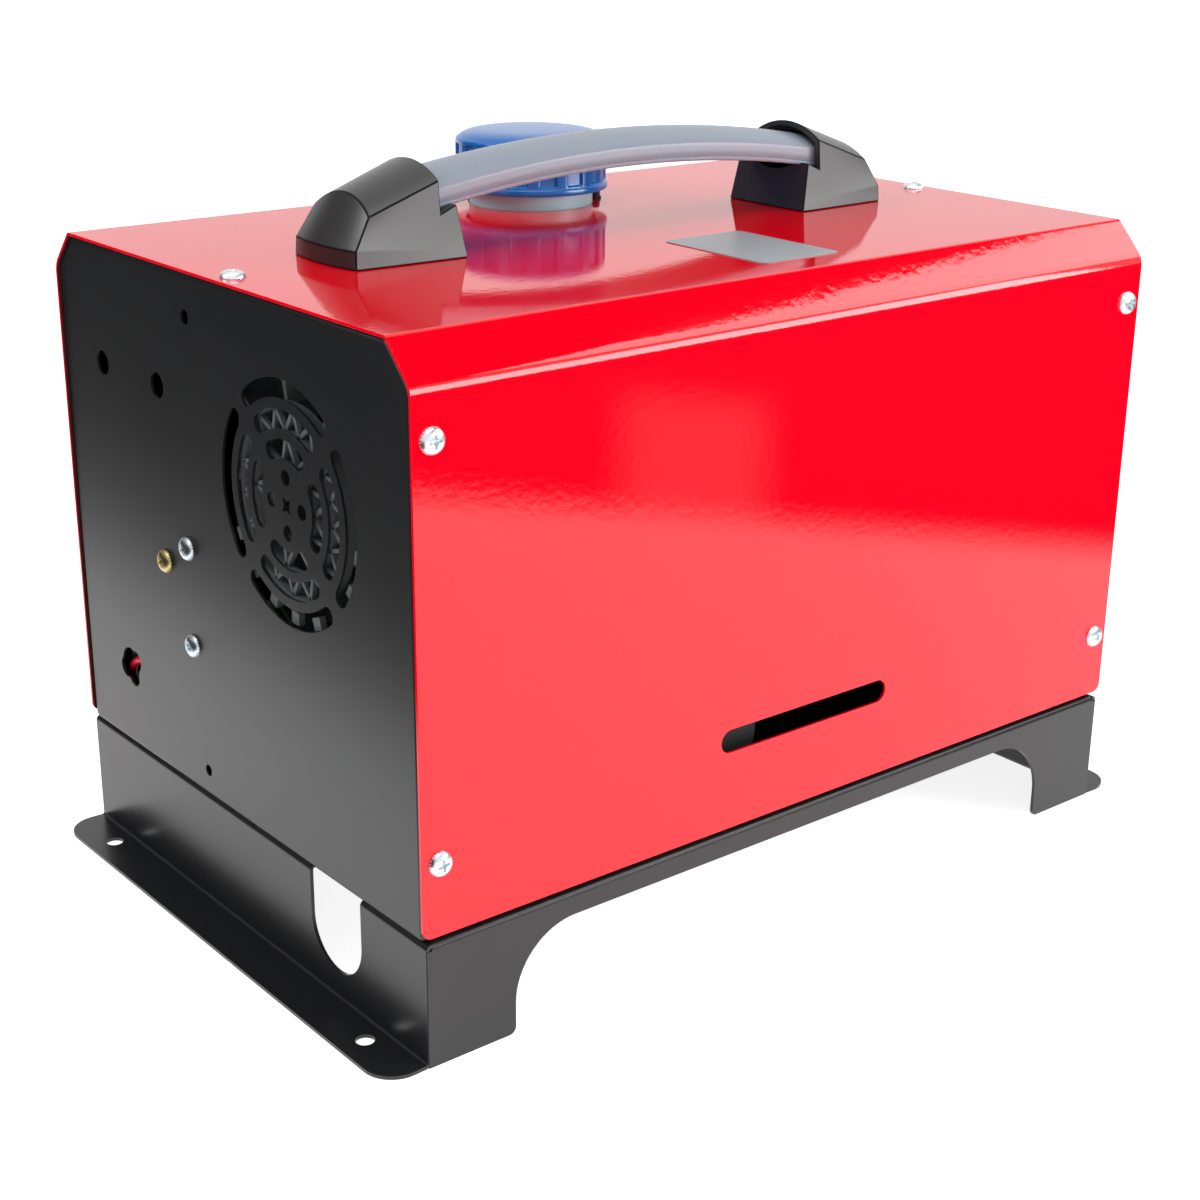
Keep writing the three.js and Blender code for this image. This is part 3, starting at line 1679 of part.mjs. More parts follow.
const finish = {
  redPaint: { color: 0xd8001e, roughness: 0.18, metalness: 0 },
  blackPowder: { color: 0x2c2d2f, roughness: 0.5, metalness: 0.1 },
  blackPlastic: { color: 0x232325, roughness: 0.42, metalness: 0 },
  greyStrap: { color: 0xa9adb8, roughness: 0.3, metalness: 0 },
  zinc: { color: 0xc9ccce, roughness: 0.25, metalness: 1 },
  yellowZinc: { color: 0xc2ac62, roughness: 0.3, metalness: 1 },
  bluePlastic: { color: 0x0a4fb5, roughness: 0.35, metalness: 0 },
  tankWhite: { color: 0xe4e6e6, roughness: 0.45, metalness: 0 },
  rubber: { color: 0x1b1b1c, roughness: 0.8, metalness: 0 },
  labelGrey: { color: 0xd3d6da, roughness: 0.35, metalness: 0 },
  aluminium: { color: 0xb4b7ba, roughness: 0.4, metalness: 1 },
  steel: { color: 0x8f9296, roughness: 0.35, metalness: 1 },
  brass: { color: 0xb59a4c, roughness: 0.3, metalness: 1 },
  boardGreen: { color: 0x1c5a34, roughness: 0.5, metalness: 0 },
  gasketGrey: { color: 0x77756f, roughness: 0.9, metalness: 0 },
  smokedLens: { color: 0x101418, roughness: 0.1, metalness: 0 },
  redWire: { color: 0xc81624, roughness: 0.5, metalness: 0 },
  blackWire: { color: 0x18181a, roughness: 0.5, metalness: 0 },
  fuelHose: { color: 0x3f8f57, roughness: 0.4, metalness: 0 },
};

const heater = new THREE.Group();

// Adds a solid to the heater as one named mesh with its own material.
function add(name, body, look, position = [0, 0, 0], rotation = [0, 0, 0]) {
  const { vertProperties, triVerts } = body.getMesh();
  const geometry = new THREE.BufferGeometry();
  geometry.setAttribute("position", new THREE.BufferAttribute(vertProperties, 3));
  geometry.setIndex(new THREE.BufferAttribute(triVerts, 1));
  const mesh = new THREE.Mesh(geometry, new THREE.MeshStandardMaterial(finish[look]));
  mesh.name = name;
  mesh.position.set(...position);
  mesh.rotation.set(...rotation);
  heater.add(mesh);
}

const quarterTurn = Math.PI / 2;

add("base_tray", baseTray(), "blackPowder");
add("left_end_plate", leftEndPlate(), "blackPowder");
add("right_end_plate", rightEndPlate(), "blackPowder");
add("cover", coverShell(), "redPaint");
add("rating_label", ratingLabel(), "labelGrey");

const caseScrew = panScrew();
const headSeat = halfWidth + seat;
let sideScrew = 0;
for (const x of [-screwX, screwX]) {
  for (const z of screwHeights) {
    sideScrew += 1;
    add("cover_screw_front_" + sideScrew, caseScrew, "zinc", [x, -headSeat, z], [quarterTurn, 0, 0]);
    add("cover_screw_back_" + sideScrew, caseScrew, "zinc", [x, headSeat, z], [-quarterTurn, 0, 0]);
  }
}
add("cover_screw_top_1", caseScrew, "zinc", [-screwX, screw.topY, coverTop + seat]);
add("cover_screw_top_2", caseScrew, "zinc", [screwX, screw.topY, coverTop + seat]);

const panelScrewX = -panelOutside - seat;
const endScrews = [
  ["clamp_screw_upper", pump.y, pumpZ + pump.earSpacing / 2, "zinc"],
  ["clamp_screw_lower", pump.y, pumpZ - pump.earSpacing / 2, "zinc"],
  ["earth_screw", earthScrew.y, earthScrew.z, "yellowZinc"],
];
for (const [name, y, z, look] of endScrews) {
  add(name, panScrew(screw.length - 2), look, [panelScrewX, y, z], [0, -quarterTurn, 0]);
}

const bracket = handleBracket();
add("handle_bracket_right", bracket, "blackPlastic");
add("handle_bracket_left", bracket.mirror([1, 0, 0]), "blackPlastic");
add("handle_strap", handleStrap(), "greyStrap");
add("handle_bolt_right", handleBolt(), "zinc");
add("handle_bolt_left", handleBolt().mirror([1, 0, 0]), "zinc");

const overNeck = [filler.x, filler.y, coverTop];
add("fuel_tank", fuelTank(), "tankWhite");
add("fuel_cap", fuelCap(), "bluePlastic", overNeck);
add("cap_seal", capSeal(), "rubber", overNeck);
add("vent_plug", ventPlugSolid(), "rubber", [ventPlug.x, ventPlug.y, coverTop]);
add("fuel_line_tank", fuelLineTank(), "fuelHose");
add("fuel_filter", fuelFilter(), "tankWhite");
add("fuel_line_pump", fuelLinePump(), "fuelHose");
add("pump_body", pumpBody(), "steel");
add("pump_plunger", pumpPlunger(), "steel");
add("pump_clamp", pumpClamp(), "rubber");
add("fuel_line_burner", fuelLineBurner(), "fuelHose");

add("heater_stand", heaterStand(), "blackPowder");
add("stand_gasket", standGasket(), "gasketGrey");
add("heater_shell_lower", heaterShellLower(), "blackPlastic");
add("heater_shell_upper", heaterShell(1), "blackPlastic");
add("intake_grille", intakeGrille(), "blackPlastic");
add("outlet_hood", outletHood(), "blackPlastic");
add("heat_exchanger", heatExchanger(), "aluminium");
add("burner_tube", burnerTube(), "steel");
add("glow_plug", glowPlug().body, "brass");
add("blower_motor", blowerMotor(), "steel");
add("blower_shaft", blowerShaft(), "steel");
add("air_fan", fanWheel(airFan, null, 0.45), "blackPlastic");
add("combustion_fan", fanWheel(sideFan, sideFan.left, 0), "aluminium");
add("control_board", controlBoard(), "boardGreen");
add("exhaust_pipe", openPipe(flue, shellBottom + shell.wall), "steel");
add("combustion_air_pipe", openPipe(airPipe, shellBottom + shell.wall), "aluminium");

add("outlet_ring", outletRing(), "blackPlastic");
add("outlet_louvre", outletLouvre(), "blackPlastic");
add("controller_housing", controllerHousing(), "blackPlastic");
add("controller_lens", controllerLens(), "smokedLens");
const buttonNames = ["button_down", "button_up", "button_mode", "button_power"];
buttonPlaces().forEach((y, i) => {
  add(buttonNames[i], controllerButton(), "rubber", [0, y, buttonZ]);
});

add("power_lead_red", powerLead(0), "redWire");
add("power_lead_black", powerLead(3.4 * pipe.leadRadius), "blackWire");

export default heater;
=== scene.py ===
import math

import bmesh
import bpy
import numpy as np
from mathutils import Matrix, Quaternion, Vector
from mathutils.geometry import tessellate_polygon


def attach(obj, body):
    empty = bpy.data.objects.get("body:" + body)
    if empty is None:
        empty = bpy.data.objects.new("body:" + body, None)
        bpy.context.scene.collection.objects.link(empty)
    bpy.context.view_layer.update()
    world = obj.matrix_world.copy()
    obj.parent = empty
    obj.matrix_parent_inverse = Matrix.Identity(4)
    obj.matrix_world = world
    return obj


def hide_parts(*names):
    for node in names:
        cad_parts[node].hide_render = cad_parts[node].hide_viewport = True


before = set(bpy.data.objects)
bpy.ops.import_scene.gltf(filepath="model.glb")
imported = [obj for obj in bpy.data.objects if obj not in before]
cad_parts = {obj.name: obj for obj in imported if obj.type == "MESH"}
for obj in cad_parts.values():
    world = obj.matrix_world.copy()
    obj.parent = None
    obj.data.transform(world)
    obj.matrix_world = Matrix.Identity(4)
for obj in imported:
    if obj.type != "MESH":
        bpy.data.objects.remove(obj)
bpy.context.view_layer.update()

# ------------------------------------------------------------------ camera
# It stands in front of the intake end, a little above the lid, as for a catalogue
# picture: 39 degrees round to the left and looking 20 degrees down.
link = bpy.context.scene.collection.objects.link
lens = bpy.data.cameras.new("camera")
lens.sensor_width = 36.0
lens.lens = 60.86
lens.clip_start = 0.01
camera = bpy.data.objects.new("camera", lens)
link(camera)
camera.location = (-0.5429, -0.6625, 0.4172)
turn, tilt, roll = math.radians(39.159), math.radians(20.216), math.radians(0.57)
aim = Vector((math.sin(turn) * math.cos(tilt), math.cos(turn) * math.cos(tilt), -math.sin(tilt)))
stance = aim.to_track_quat("-Z", "Y") @ Quaternion((0, 0, 1), roll)
camera.rotation_euler = stance.to_euler()
bpy.context.scene.camera = camera
bpy.context.scene.view_settings.view_transform = "Standard"

# ------------------------------------------------------------------ studio
# A white table before a white background, with a soft box in front, one overhead and one at
# the intake end. Three black cards and a bright strip stand round it out of the picture, seen
# in gloss alone: the gloss turns dark above the table's reflection, as in a photo studio.
white = (1, 1, 1, 1)


def wire(tree, node, **inputs):
    """Sets inputs of a node, new if only its type is given: a value or (node, socket) each.
    An input is named, or counted as n0, n1 and so on."""
    node = tree.nodes.new(node) if isinstance(node, str) else node
    for key, value in inputs.items():
        counted = key[0] == "n" and key[1:].isdigit()
        socket = node.inputs[int(key[1:]) if counted else key.replace("_", " ")]
        if isinstance(value, tuple) and isinstance(value[0], bpy.types.Node):
            tree.links.new(value[0].outputs[value[1]], socket)
        else:
            socket.default_value = value
    return node


def calculate(tree, operation, *values):
    """A Math node with its operation and up to three inputs."""
    node = tree.nodes.new("ShaderNodeMath")
    node.operation = operation
    return wire(tree, node, **{f"n{number}": value for number, value in enumerate(values)})


def ramp(tree, source, low, high, start, end):
    """Map Range, smoothed: source from low to high becomes start to end."""
    node = tree.nodes.new("ShaderNodeMapRange")
    node.interpolation_type = "SMOOTHSTEP"
    return wire(tree, node, Value=source, From_Min=low, From_Max=high, To_Min=start, To_Max=end)


def shown(tree):
    """1 where the ray comes from the camera, from gloss or through glass, else 0."""
    ray = wire(tree, "ShaderNodeLightPath")
    gloss = calculate(tree, "MAXIMUM", (ray, "Is Camera Ray"), (ray, "Is Glossy Ray"))
    return calculate(tree, "MAXIMUM", (gloss, 0), (ray, "Is Transmission Ray"))


def emptied(owner):
    """The node tree of a new material or world, with no node in it."""
    owner.use_nodes = True
    owner.node_tree.nodes.clear()
    return owner.node_tree


def on_stage(name, corners):
    """One flat face of the studio, and the empty node tree of its material."""
    mesh = bpy.data.meshes.new(name)
    mesh.from_pydata(corners, [], [tuple(range(len(corners)))])
    made = bpy.data.objects.new(name, mesh)
    link(made)
    mesh.materials.append(bpy.data.materials.new(name))
    return made, emptied(mesh.materials[0])


floor, tree = on_stage("floor", [(-30, -30, 0), (30, -30, 0), (30, 30, 0), (-30, 30, 0)])
floor.location.z = -0.0002
matt = wire(tree, "ShaderNodeBsdfDiffuse", Color=(0.9, 0.9, 0.9, 1))
paler = calculate(tree, "MULTIPLY_ADD", (shown(tree), 0), 0.5, 0.34)
pale = wire(tree, "ShaderNodeEmission", Color=white, Strength=(paler, 0))
both = wire(tree, "ShaderNodeAddShader", n0=(matt, 0), n1=(pale, 0))
wire(tree, "ShaderNodeOutputMaterial", Surface=(both, 0))


def card(name, corners, foot, patch=None, glow=0.012):
    """A card seen in gloss alone, whose foot thins out up to a height. A grey patch may lean
    on it, between two places along the front, 0.62 x + 0.78 y, and up to a height."""
    made, tree = on_stage(name, corners)
    made.visible_camera = made.visible_diffuse = False
    made.visible_shadow = made.visible_transmission = False
    place = wire(tree, "ShaderNodeTexCoord")
    axes = wire(tree, "ShaderNodeSeparateXYZ", Vector=(place, "Object"))
    cloth = wire(tree, "ShaderNodeEmission", Color=white, Strength=glow)
    if patch:
        low, high, top, strength = patch
        sweep = calculate(tree, "MULTIPLY", (axes, "Y"), 0.78)
        along = calculate(tree, "MULTIPLY_ADD", (axes, "X"), 0.62, (sweep, 0))
        left = ramp(tree, (along, 0), low, low + 0.04, 0.0, strength)
        right = ramp(tree, (along, 0), high - 0.04, high, 1.0, 0.0)
        up = ramp(tree, (axes, "Z"), top, top + 0.035, 1.0, 0.0)
        grey = calculate(tree, "MULTIPLY", (left, 0), (right, 0))
        grey = calculate(tree, "MULTIPLY_ADD", (grey, 0), (up, 0), glow)
        wire(tree, cloth, Strength=(grey, 0))
    clear = wire(tree, "ShaderNodeBsdfTransparent")
    fade = ramp(tree, (axes, "Z"), -0.001, foot, 0.0, 1.0)
    mix = wire(tree, "ShaderNodeMixShader", n0=(fade, 0), n1=(clear, 0), n2=(cloth, 0))
    wire(tree, "ShaderNodeOutputMaterial", Surface=(mix, 0))


def off_front(low, high):
    """Corners of a card square to the line of sight along the front, at two heights."""
    spots = ((-0.75, low), (0.4, low), (0.4, high), (-0.75, high))
    return [(0.44 + 0.6245 * a, -0.3497 + 0.7857 * a, z) for a, z in spots]


card("front_card_low", off_front(0.0, 0.26), 0.03, patch=(-0.30, -0.17, 0.075, 0.55))
card("front_card_high", off_front(0.58, 1.3), 0.0)
end_corners = ((-0.3, 0), (1.2, 0), (1.2, 1.3), (0.6, 1.1), (0.0, 0.25), (-0.3, 0.22))
card("end_card", [(-0.335, y, z) for y, z in end_corners], 0.04)
strip_corners = ((0.1, -0.45), (0.8, -0.45), (0.8, -0.17), (0.1, -0.226))
card("strip_card", [(x, y, 0.5) for x, y in strip_corners], 0.0, glow=4.5)

world = bpy.data.worlds.new("studio")
bpy.context.scene.world = world
tree = emptied(world)
place = wire(tree, "ShaderNodeTexCoord")
axes = wire(tree, "ShaderNodeSeparateXYZ", Vector=(place, "Generated"))
sky = ramp(tree, (axes, "Z"), 0.1, 0.8, 0.6, 0.5)
fill = wire(tree, "ShaderNodeBackground", Color=white, Strength=(sky, 0))
back = wire(tree, "ShaderNodeBackground", Color=white, Strength=1.0)
either = wire(tree, "ShaderNodeMixShader", n0=(shown(tree), 0), n1=(fill, 0), n2=(back, 0))
wire(tree, "ShaderNodeOutputWorld", Surface=(either, 0))

for name, spot, size, power in (
    ("front_box", (0.85, -1.15, 0.42), (0.8, 0.6), 13.5),
    ("top_box", (-0.1, -0.3, 1.4), (1.0, 0.8), 4.5),
    ("end_box", (-1.02, 0.58, 1.05), (0.6, 0.5), 5.0),
):
    lamp = bpy.data.lights.new(name, "AREA")
    lamp.shape = "RECTANGLE"
    lamp.size, lamp.size_y = size
    lamp.energy = power
    softbox = bpy.data.objects.new(name, lamp)
    softbox.location = spot
    sight = Vector((0, 0, 0.15)) - Vector(spot)
    softbox.rotation_euler = sight.to_track_quat("-Z", "Y").to_euler()
    link(softbox)

# ------------------------------------------------------------------ base tray
# One black powder-coated steel sheet, 1.5 mm: a deck, two long sides with an arch each,
# and two end walls that turn out into floor flanges. Bends have about 2.5 mm radius.
MM = 0.001


def arc(x, y, radius, start, stop, steps):
    """Points at x, y plus radius times the unit vector of evenly spaced angles in degrees."""
    angle = np.radians(np.linspace(start, stop, steps + 1))
    return np.stack([x + radius * np.cos(angle), y + radius * np.sin(angle)], 1)


def plate(place, *loops):
    """A flat sheet: the first loop is its outline, the others are holes in it."""
    points = np.concatenate(loops)
    faces = tessellate_polygon([[Vector((*p, 0)) for p in loop] for loop in loops])
    return place(points), [tuple(face) for face in faces]


def strip(grid):
    """A surface through a grid of points: rows by columns by xyz, one face per cell."""
    rows, columns = grid.shape[:2]
    corner = np.arange(rows * columns).reshape(rows, columns)
    faces = np.stack([corner[:-1, :-1], corner[:-1, 1:], corner[1:, 1:], corner[1:, :-1]], -1)
    return grid.reshape(-1, 3), faces.reshape(-1, 4).tolist()


def piece(name, parts, material, body, node, smooth=35, as_drawn=False):
    """Parts in millimetres, welded into one smooth-shaded mesh that rides on a body and
    replaces a node. Its faces are turned outwards, unless they are drawn that way."""
    points = np.concatenate([corners for corners, _ in parts]) * MM
    faces, start = [], 0
    for corners, cells in parts:
        faces += [[start + corner for corner in cell] for cell in cells]
        start += len(corners)
    mesh = bpy.data.meshes.new(name)
    mesh.from_pydata(points.tolist(), [], faces)
    weld = bmesh.new()
    weld.from_mesh(mesh)
    bmesh.ops.remove_doubles(weld, verts=weld.verts, dist=5e-6)
    bmesh.ops.dissolve_degenerate(weld, edges=weld.edges, dist=1e-6)
    if not as_drawn:
        bmesh.ops.recalc_face_normals(weld, faces=weld.faces)
    weld.to_mesh(mesh)
    weld.free()
    mesh.polygons.foreach_set("use_smooth", np.ones(len(mesh.polygons), bool))
    mesh.set_sharp_from_angle(angle=math.radians(smooth))
    mesh.materials.append(material)
    made = bpy.data.objects.new(name, mesh)
    link(made)
    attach(made, body)
    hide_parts(node)
    return made


def facing(part, way):
    """The part, its faces turned over if their summed normal goes against the way."""
    points, faces = part
    face = np.array([points[list(face)[:3]] for face in faces])
    normal = np.cross(face[:, 1] - face[:, 0], face[:, 2] - face[:, 0]).sum(0)
    return points, [face[::-1] for face in faces] if normal @ np.array(way, float) < 0 else faces


def soften(made, width, angle):
    """A small round of two steps on each edge that is sharper than the angle in degrees."""
    edge = made.modifiers.new("edge", "BEVEL")
    edge.width, edge.segments = width * MM, 2
    edge.limit_method, edge.angle_limit = "ANGLE", math.radians(angle)
    return edge


def even_shade(made):
    """Normals weighted by area, so that a flat face stays flat up to its rounded edge."""
    made.modifiers.new("shade", "WEIGHTED_NORMAL").keep_sharp = True


def sheet(made, thickness, edge=0.25, cut=None, inside=None):
    """The skin gets its wall inwards, and its cut edges a small round. The cut edges may take a
    lighter look, a painted highlight, and the inner face a darker one, painted shade.
    """
    wall = made.modifiers.new("wall", "SOLIDIFY")
    wall.thickness = thickness * MM
    wall.offset = -1
    wall.use_even_offset = True
    rounded = soften(made, edge, 50)
    for look, modifier, setting in ((cut, rounded, "material"), (inside, wall, "material_offset")):
        if look:
            made.data.materials.append(look)
            setattr(modifier, setting, len(made.data.materials) - 1)
    even_shade(made)


def finish(name, colour, roughness, grain=0.0, size=0.5, drift=0.04, **constants):
    """A surface with fine bumps, grain high and size wide in millimetres, whose shade drifts
    slowly by plus or minus drift and whose roughness drifts by 7.5 percent."""
    material = bpy.data.materials.new(name)
    tree = emptied(material)
    place = wire(tree, "ShaderNodeTexCoord")
    slow = wire(tree, "ShaderNodeTexNoise", Vector=(place, "Object"), Scale=14.0, Detail=3.0)
    tint = tree.nodes.new("ShaderNodeMix")
    tint.data_type = "RGBA"
    darker = (*[max(c * (1 - drift), 0) for c in colour], 1)
    lighter = (*[min(c * (1 + drift), 1) for c in colour], 1)
    wire(tree, tint, n0=(slow, "Fac"), n6=darker, n7=lighter)
    patchy = calculate(tree, "MULTIPLY_ADD", (slow, "Fac"), roughness * 0.15, roughness * 0.925)
    shader = wire(tree, "ShaderNodeBsdfPrincipled", Roughness=(patchy, 0), Base_Color=(tint, 2))
    if grain:
        noise = wire(
            tree, "ShaderNodeTexNoise", Vector=(place, "Object"), Scale=1000 / size, Detail=2.0
        )
        bump = wire(
            tree, "ShaderNodeBump", Height=(noise, "Fac"), Distance=grain * MM, Strength=1.0
        )
        wire(tree, shader, Normal=(bump, 0))
    wire(tree, shader, **constants)
    wire(tree, "ShaderNodeOutputMaterial", Surface=(shader, 0))
    return material


def level(z):
    """Lays points of a plan, (x, y), at height z."""
    return lambda points: np.column_stack([points, np.full(len(points), z)])


def facing_x(x):
    """Stands points of an end view, (y, z), at x."""
    return lambda points: np.column_stack([np.full(len(points), x), points])


def facing_y(y):
    """Stands points of a front view, (x, z), at y."""
    return lambda points: np.column_stack([points[:, 0], np.full(len(points), y), points[:, 1]])


def fold(across, curve, side, low, high):
    """A bend from low to high: its curve stands across the axis, mirrored by side."""
    return strip(np.stack([across(at)(curve * (side, 1)) for at in (low, high)]))


black_powder = finish(
    "black_powder", (0.0125, 0.013, 0.0145), 0.29, grain=0.01, size=0.55, Specular_IOR_Level=0.52
)
half_width, half_base, deck_top = 131.5, 188.7, 50.6
tray_sheet, bend = 1.5, 2.5
inner_bend, bend_low = bend - tray_sheet, deck_top - bend
reach_y = half_width - 0.3
notch_y, notch_z, notch_r = -70.0, 30.1, 17.7
notch_from, notch_to, notch_end = notch_y - notch_r, notch_y + notch_r, -half_base + 6
deck_x, deck_y = half_base - bend, half_width - bend
deck = np.array(
    [
        (-deck_x, -deck_y), (deck_x, -deck_y), (deck_x, deck_y), (-deck_x, deck_y),
        (-deck_x, notch_to), (notch_end, notch_to), (notch_end, notch_from), (-deck_x, notch_from),
    ]
)
pipe_y, pipe_r = -66.0, 14.0
pipe_holes = [arc(x, pipe_y, pipe_r, 0, 352.5, 47)[::-1] for x in (-32.0, -86.0)]
parts = [facing(plate(level(deck_top), deck, *pipe_holes), (0, 0, 1))]

flange_edge, flange_corner, hole_r, hole_in, hole_y = 208.4, 13.0, 3.7, 10.8, 102.5
corner_x, corner_y = flange_edge - flange_corner, half_width - flange_corner
for end in (-1, 1):
    spans = [(-reach_y, notch_from), (notch_to, reach_y)] if end < 0 else [(-reach_y, reach_y)]
    curve = arc(deck_x, bend_low, bend, 90, 0, 8)
    parts += [facing(fold(facing_y, curve, end, *span), (end, 0, 1)) for span in spans]
    low = tray_sheet + inner_bend
    wall = [(-reach_y, low), (reach_y, low), (reach_y, bend_low)]
    if end < 0:
        cup = arc(notch_y, notch_z, notch_r, 0, -180, 24)
        wall += [(notch_to, bend_low), *cup, (notch_from, bend_low)]
    wall.append((-reach_y, bend_low))
    parts.append(facing(plate(facing_x(end * half_base), np.array(wall)), (end, 0, 0)))
    flange_x = half_base + inner_bend
    curve = arc(flange_x, low, inner_bend, 180, 270, 5)
    parts.append(facing(fold(facing_y, curve, end, -reach_y, reach_y), (end, 0, 1)))
    outline = [(flange_x, reach_y), (flange_x, -reach_y)]
    outline += [*arc(corner_x, -corner_y, flange_corner, -90, 0, 10)]
    outline += [*arc(corner_x, corner_y, flange_corner, 0, 90, 10)]
    loops = [np.array(outline)]
    for y in (-hole_y, hole_y):
        loops.append(arc(flange_edge - hole_in, y, hole_r, 0, 345, 23)[::-1])
    flange = plate(level(tray_sheet), *[loop * (end, 1) for loop in loops])
    parts.append(facing(flange, (0, 0, 1)))

arch_half, arch_top, arch_r, toe_r = 149.0, 41.0, 28.0, 3.0
leg_x = half_base - 0.3
for side in (-1, 1):
    curve = arc(deck_y, bend_low, bend, 90, 0, 8)
    parts.append(facing(fold(facing_x, curve, side, -deck_x, deck_x), (0, side, 1)))
    leg = [
        (-leg_x, 0), *arc(-arch_half - toe_r, toe_r, toe_r, -90, 0, 5),
        *arc(-arch_half + arch_r, arch_top - arch_r, arch_r, 180, 90, 16),
    ]
    leg += [(-x, z) for x, z in leg[::-1]]
    leg += [(leg_x, bend_low), (deck_x, bend_low), (-deck_x, bend_low), (-leg_x, bend_low)]
    parts.append(facing(plate(facing_y(side * half_width), np.array(leg)), (0, side, 0)))
tray = piece(
    "base_tray_sheet", parts, black_powder, "case", "base_tray", as_drawn=True
)
sheet(tray, tray_sheet)

# ------------------------------------------------------------------ end plates
# Each end is a black pan: a flat panel with its rim folded 18 mm inwards all round, 1.2 mm
# sheet. The intake end has a punched vent of three slotted rings, spare holes and a cable
# hole; the other end has the round hole of the hot-air outlet and the controller's hole.
# The lighter powder for the plates' cut edges is a painted highlight along them.
edge_highlight_powder = finish("powder_painted_edge_highlight", (0.075, 0.078, 0.082), 0.3, drift=0.1, Specular_IOR_Level=0.6)
half_case, case_top, shoulder, half_lid = 190.0, 270.0, 255.0, 117.5
plate_face, plate_sheet, plate_rim, plate_bend, plate_corner = half_case - 0.8, 1.2, 18.0, 2.2, 3.0
vent_y, vent_z = -48.0, 194.5
box_y, box_z = 68.0, 196.0


def band(rows):
    """A surface through rows of points, each of which closes round to its first point."""
    grid = np.stack(rows)
    return strip(np.concatenate([grid, grid[:, :1]], 1))


def about_vent(radius, angle):
    """The point of the end view at a radius and an angle in degrees about the vent."""
    angle = math.radians(angle)
    return np.array([vent_y + radius * math.cos(angle), vent_z + radius * math.sin(angle)])


def slot_bow(radius, middle, half, width=7.4):
    """A slot bent round the vent's centre: outer arc, round end, inner arc, round end."""
    steps = max(int(half / 3), 4)
    start, stop = middle - half, middle + half
    outer = arc(vent_y, vent_z, radius + width / 2, start, stop, steps)
    inner = arc(vent_y, vent_z, radius - width / 2, stop, start, steps)
    far = arc(*about_vent(radius, stop), width / 2, stop, stop + 180, 8)[1:-1]
    near = arc(*about_vent(radius, start), width / 2, start + 180, start + 360, 8)[1:-1]
    return np.concatenate([outer, far, inner, near])[::-1]


def disc(y, z, radius, count=32):
    """A round hole: count points, clockwise."""
    return arc(y, z, radius, 0, 360 - 360 / count, count - 1)[::-1]


def lobed(y, z, radius, lobe, circle, angles):
    """The cable hole: a circle whose edge bulges where small circles overlap it."""
    angle = np.radians(np.arange(0, 360, 4))
    reach = np.full(len(angle), float(radius))
    for middle in np.radians(angles):
        across = circle * np.sin(angle - middle)
        along = circle * np.cos(angle - middle)
        far = along + np.sqrt(np.maximum(lobe * lobe - across * across, 0))
        lobed_here = (np.abs(across) < lobe) & (along > 0)
        reach = np.where(lobed_here, np.maximum(reach, far), reach)
    return np.column_stack([y + reach * np.cos(angle), z + reach * np.sin(angle)])[::-1]


def swing(a, b):
    """The cross product of two directions in a plane."""
    return a[..., 0] * b[..., 1] - a[..., 1] * b[..., 0]


def pan_outline(shrink, radius, steps=5):
    """The case's end view with round corners, anticlockwise. Each side moves in by shrink,
    and all but the foot by 1.5 more; a corner is where one side's line meets the next."""
    corners = np.array(
        [
            (-half_width, 50.9), (half_width, 50.9), (half_width, shoulder),
            (half_lid, case_top), (-half_lid, case_top), (-half_width, shoulder),
        ]
    )
    side = np.roll(corners, -1, 0) - corners
    side /= np.linalg.norm(side, axis=1)[:, None]
    gap = shrink + 1.5 * np.array([0, 1, 1, 1, 1, 1])
    start = corners + np.column_stack([-side[:, 1], side[:, 0]]) * gap[:, None]
    before, last = np.roll(side, 1, 0), np.roll(start, 1, 0)
    corner = last + before * (swing(start - last, side) / swing(before, side))[:, None]
    points = []
    shoulder_extra = np.array([0, 0, 4, 0, 0, 4])
    for place, a, b, round_r in zip(corner, before, side, radius + shoulder_extra):
        bent = math.atan2(swing(a, b), a @ b)
        tangent = place - a * round_r * math.tan(bent / 2)
        centre = tangent + np.array([-a[1], a[0]]) * round_r
        first = math.degrees(math.atan2(-a[0], a[1]))
        points.append(arc(*centre, round_r, first, first + math.degrees(bent), steps))
    return np.concatenate(points)


def pan(end, holes):
    """The rim with its rounded fold, and the panel, for one end of the case."""
    rows = []
    for angle in np.radians(np.linspace(0, 90, 9)):
        shrink = plate_bend * (1 - math.sin(angle))
        depth = plate_bend * (1 - math.cos(angle))
        loop = pan_outline(shrink, max(plate_corner - shrink, 0.6))
        rows.append(facing_x(end * (plate_face - depth))(loop))
    rows.append(facing_x(end * (plate_face - plate_rim))(pan_outline(0, plate_corner)))
    points, faces = band(rows)
    rim = points, [face[::-1] for face in faces] if end > 0 else faces
    return [rim, facing(plate(facing_x(end * plate_face), rows[0][:, 1:], *holes), (end, 0, 0))]


vent_holes = [
    slot_bow(radius, middle, half)
    for radius, half in ((43.4, 36.0), (32.1, 32.5), (21.1, 26.5))
    for middle in (0, 90, 180, 270)
]
vent_holes += [disc(y, z, 3.1, 20) for y, z in arc(vent_y, vent_z, 10.5, 0, 270, 3)]
spikes = np.where(np.arange(8) % 2, 4.2, 2.0)[:, None]
vent_holes.append(((vent_y, vent_z) + spikes * arc(0, 0, 1, 0, 315, 7))[::-1])
spare_holes = ((95.2, 219.8, 5.3), (48.2, 219.8, 5.3), (22.0, 251.5, 3.1), (24.7, 62.6, 2.5))
cable_hole = lobed(89.7, 88.8, 7.4, 4.6, 5.3, (150, 245, 332))
for end, name, holes in (
    (-1, "left_end_plate", [*vent_holes, *[disc(*hole) for hole in spare_holes], cable_hole]),
    (1, "right_end_plate", [disc(vent_y, vent_z, 40.1, 72), disc(box_y, box_z, 6.0, 24)]),
):
    made = piece(
        name + "_pan", pan(end, holes), black_powder, "case", name, as_drawn=True
    )
    # The cut edges take the lighter powder: a painted highlight.
    sheet(made, plate_sheet, 0.3, cut=edge_highlight_powder)

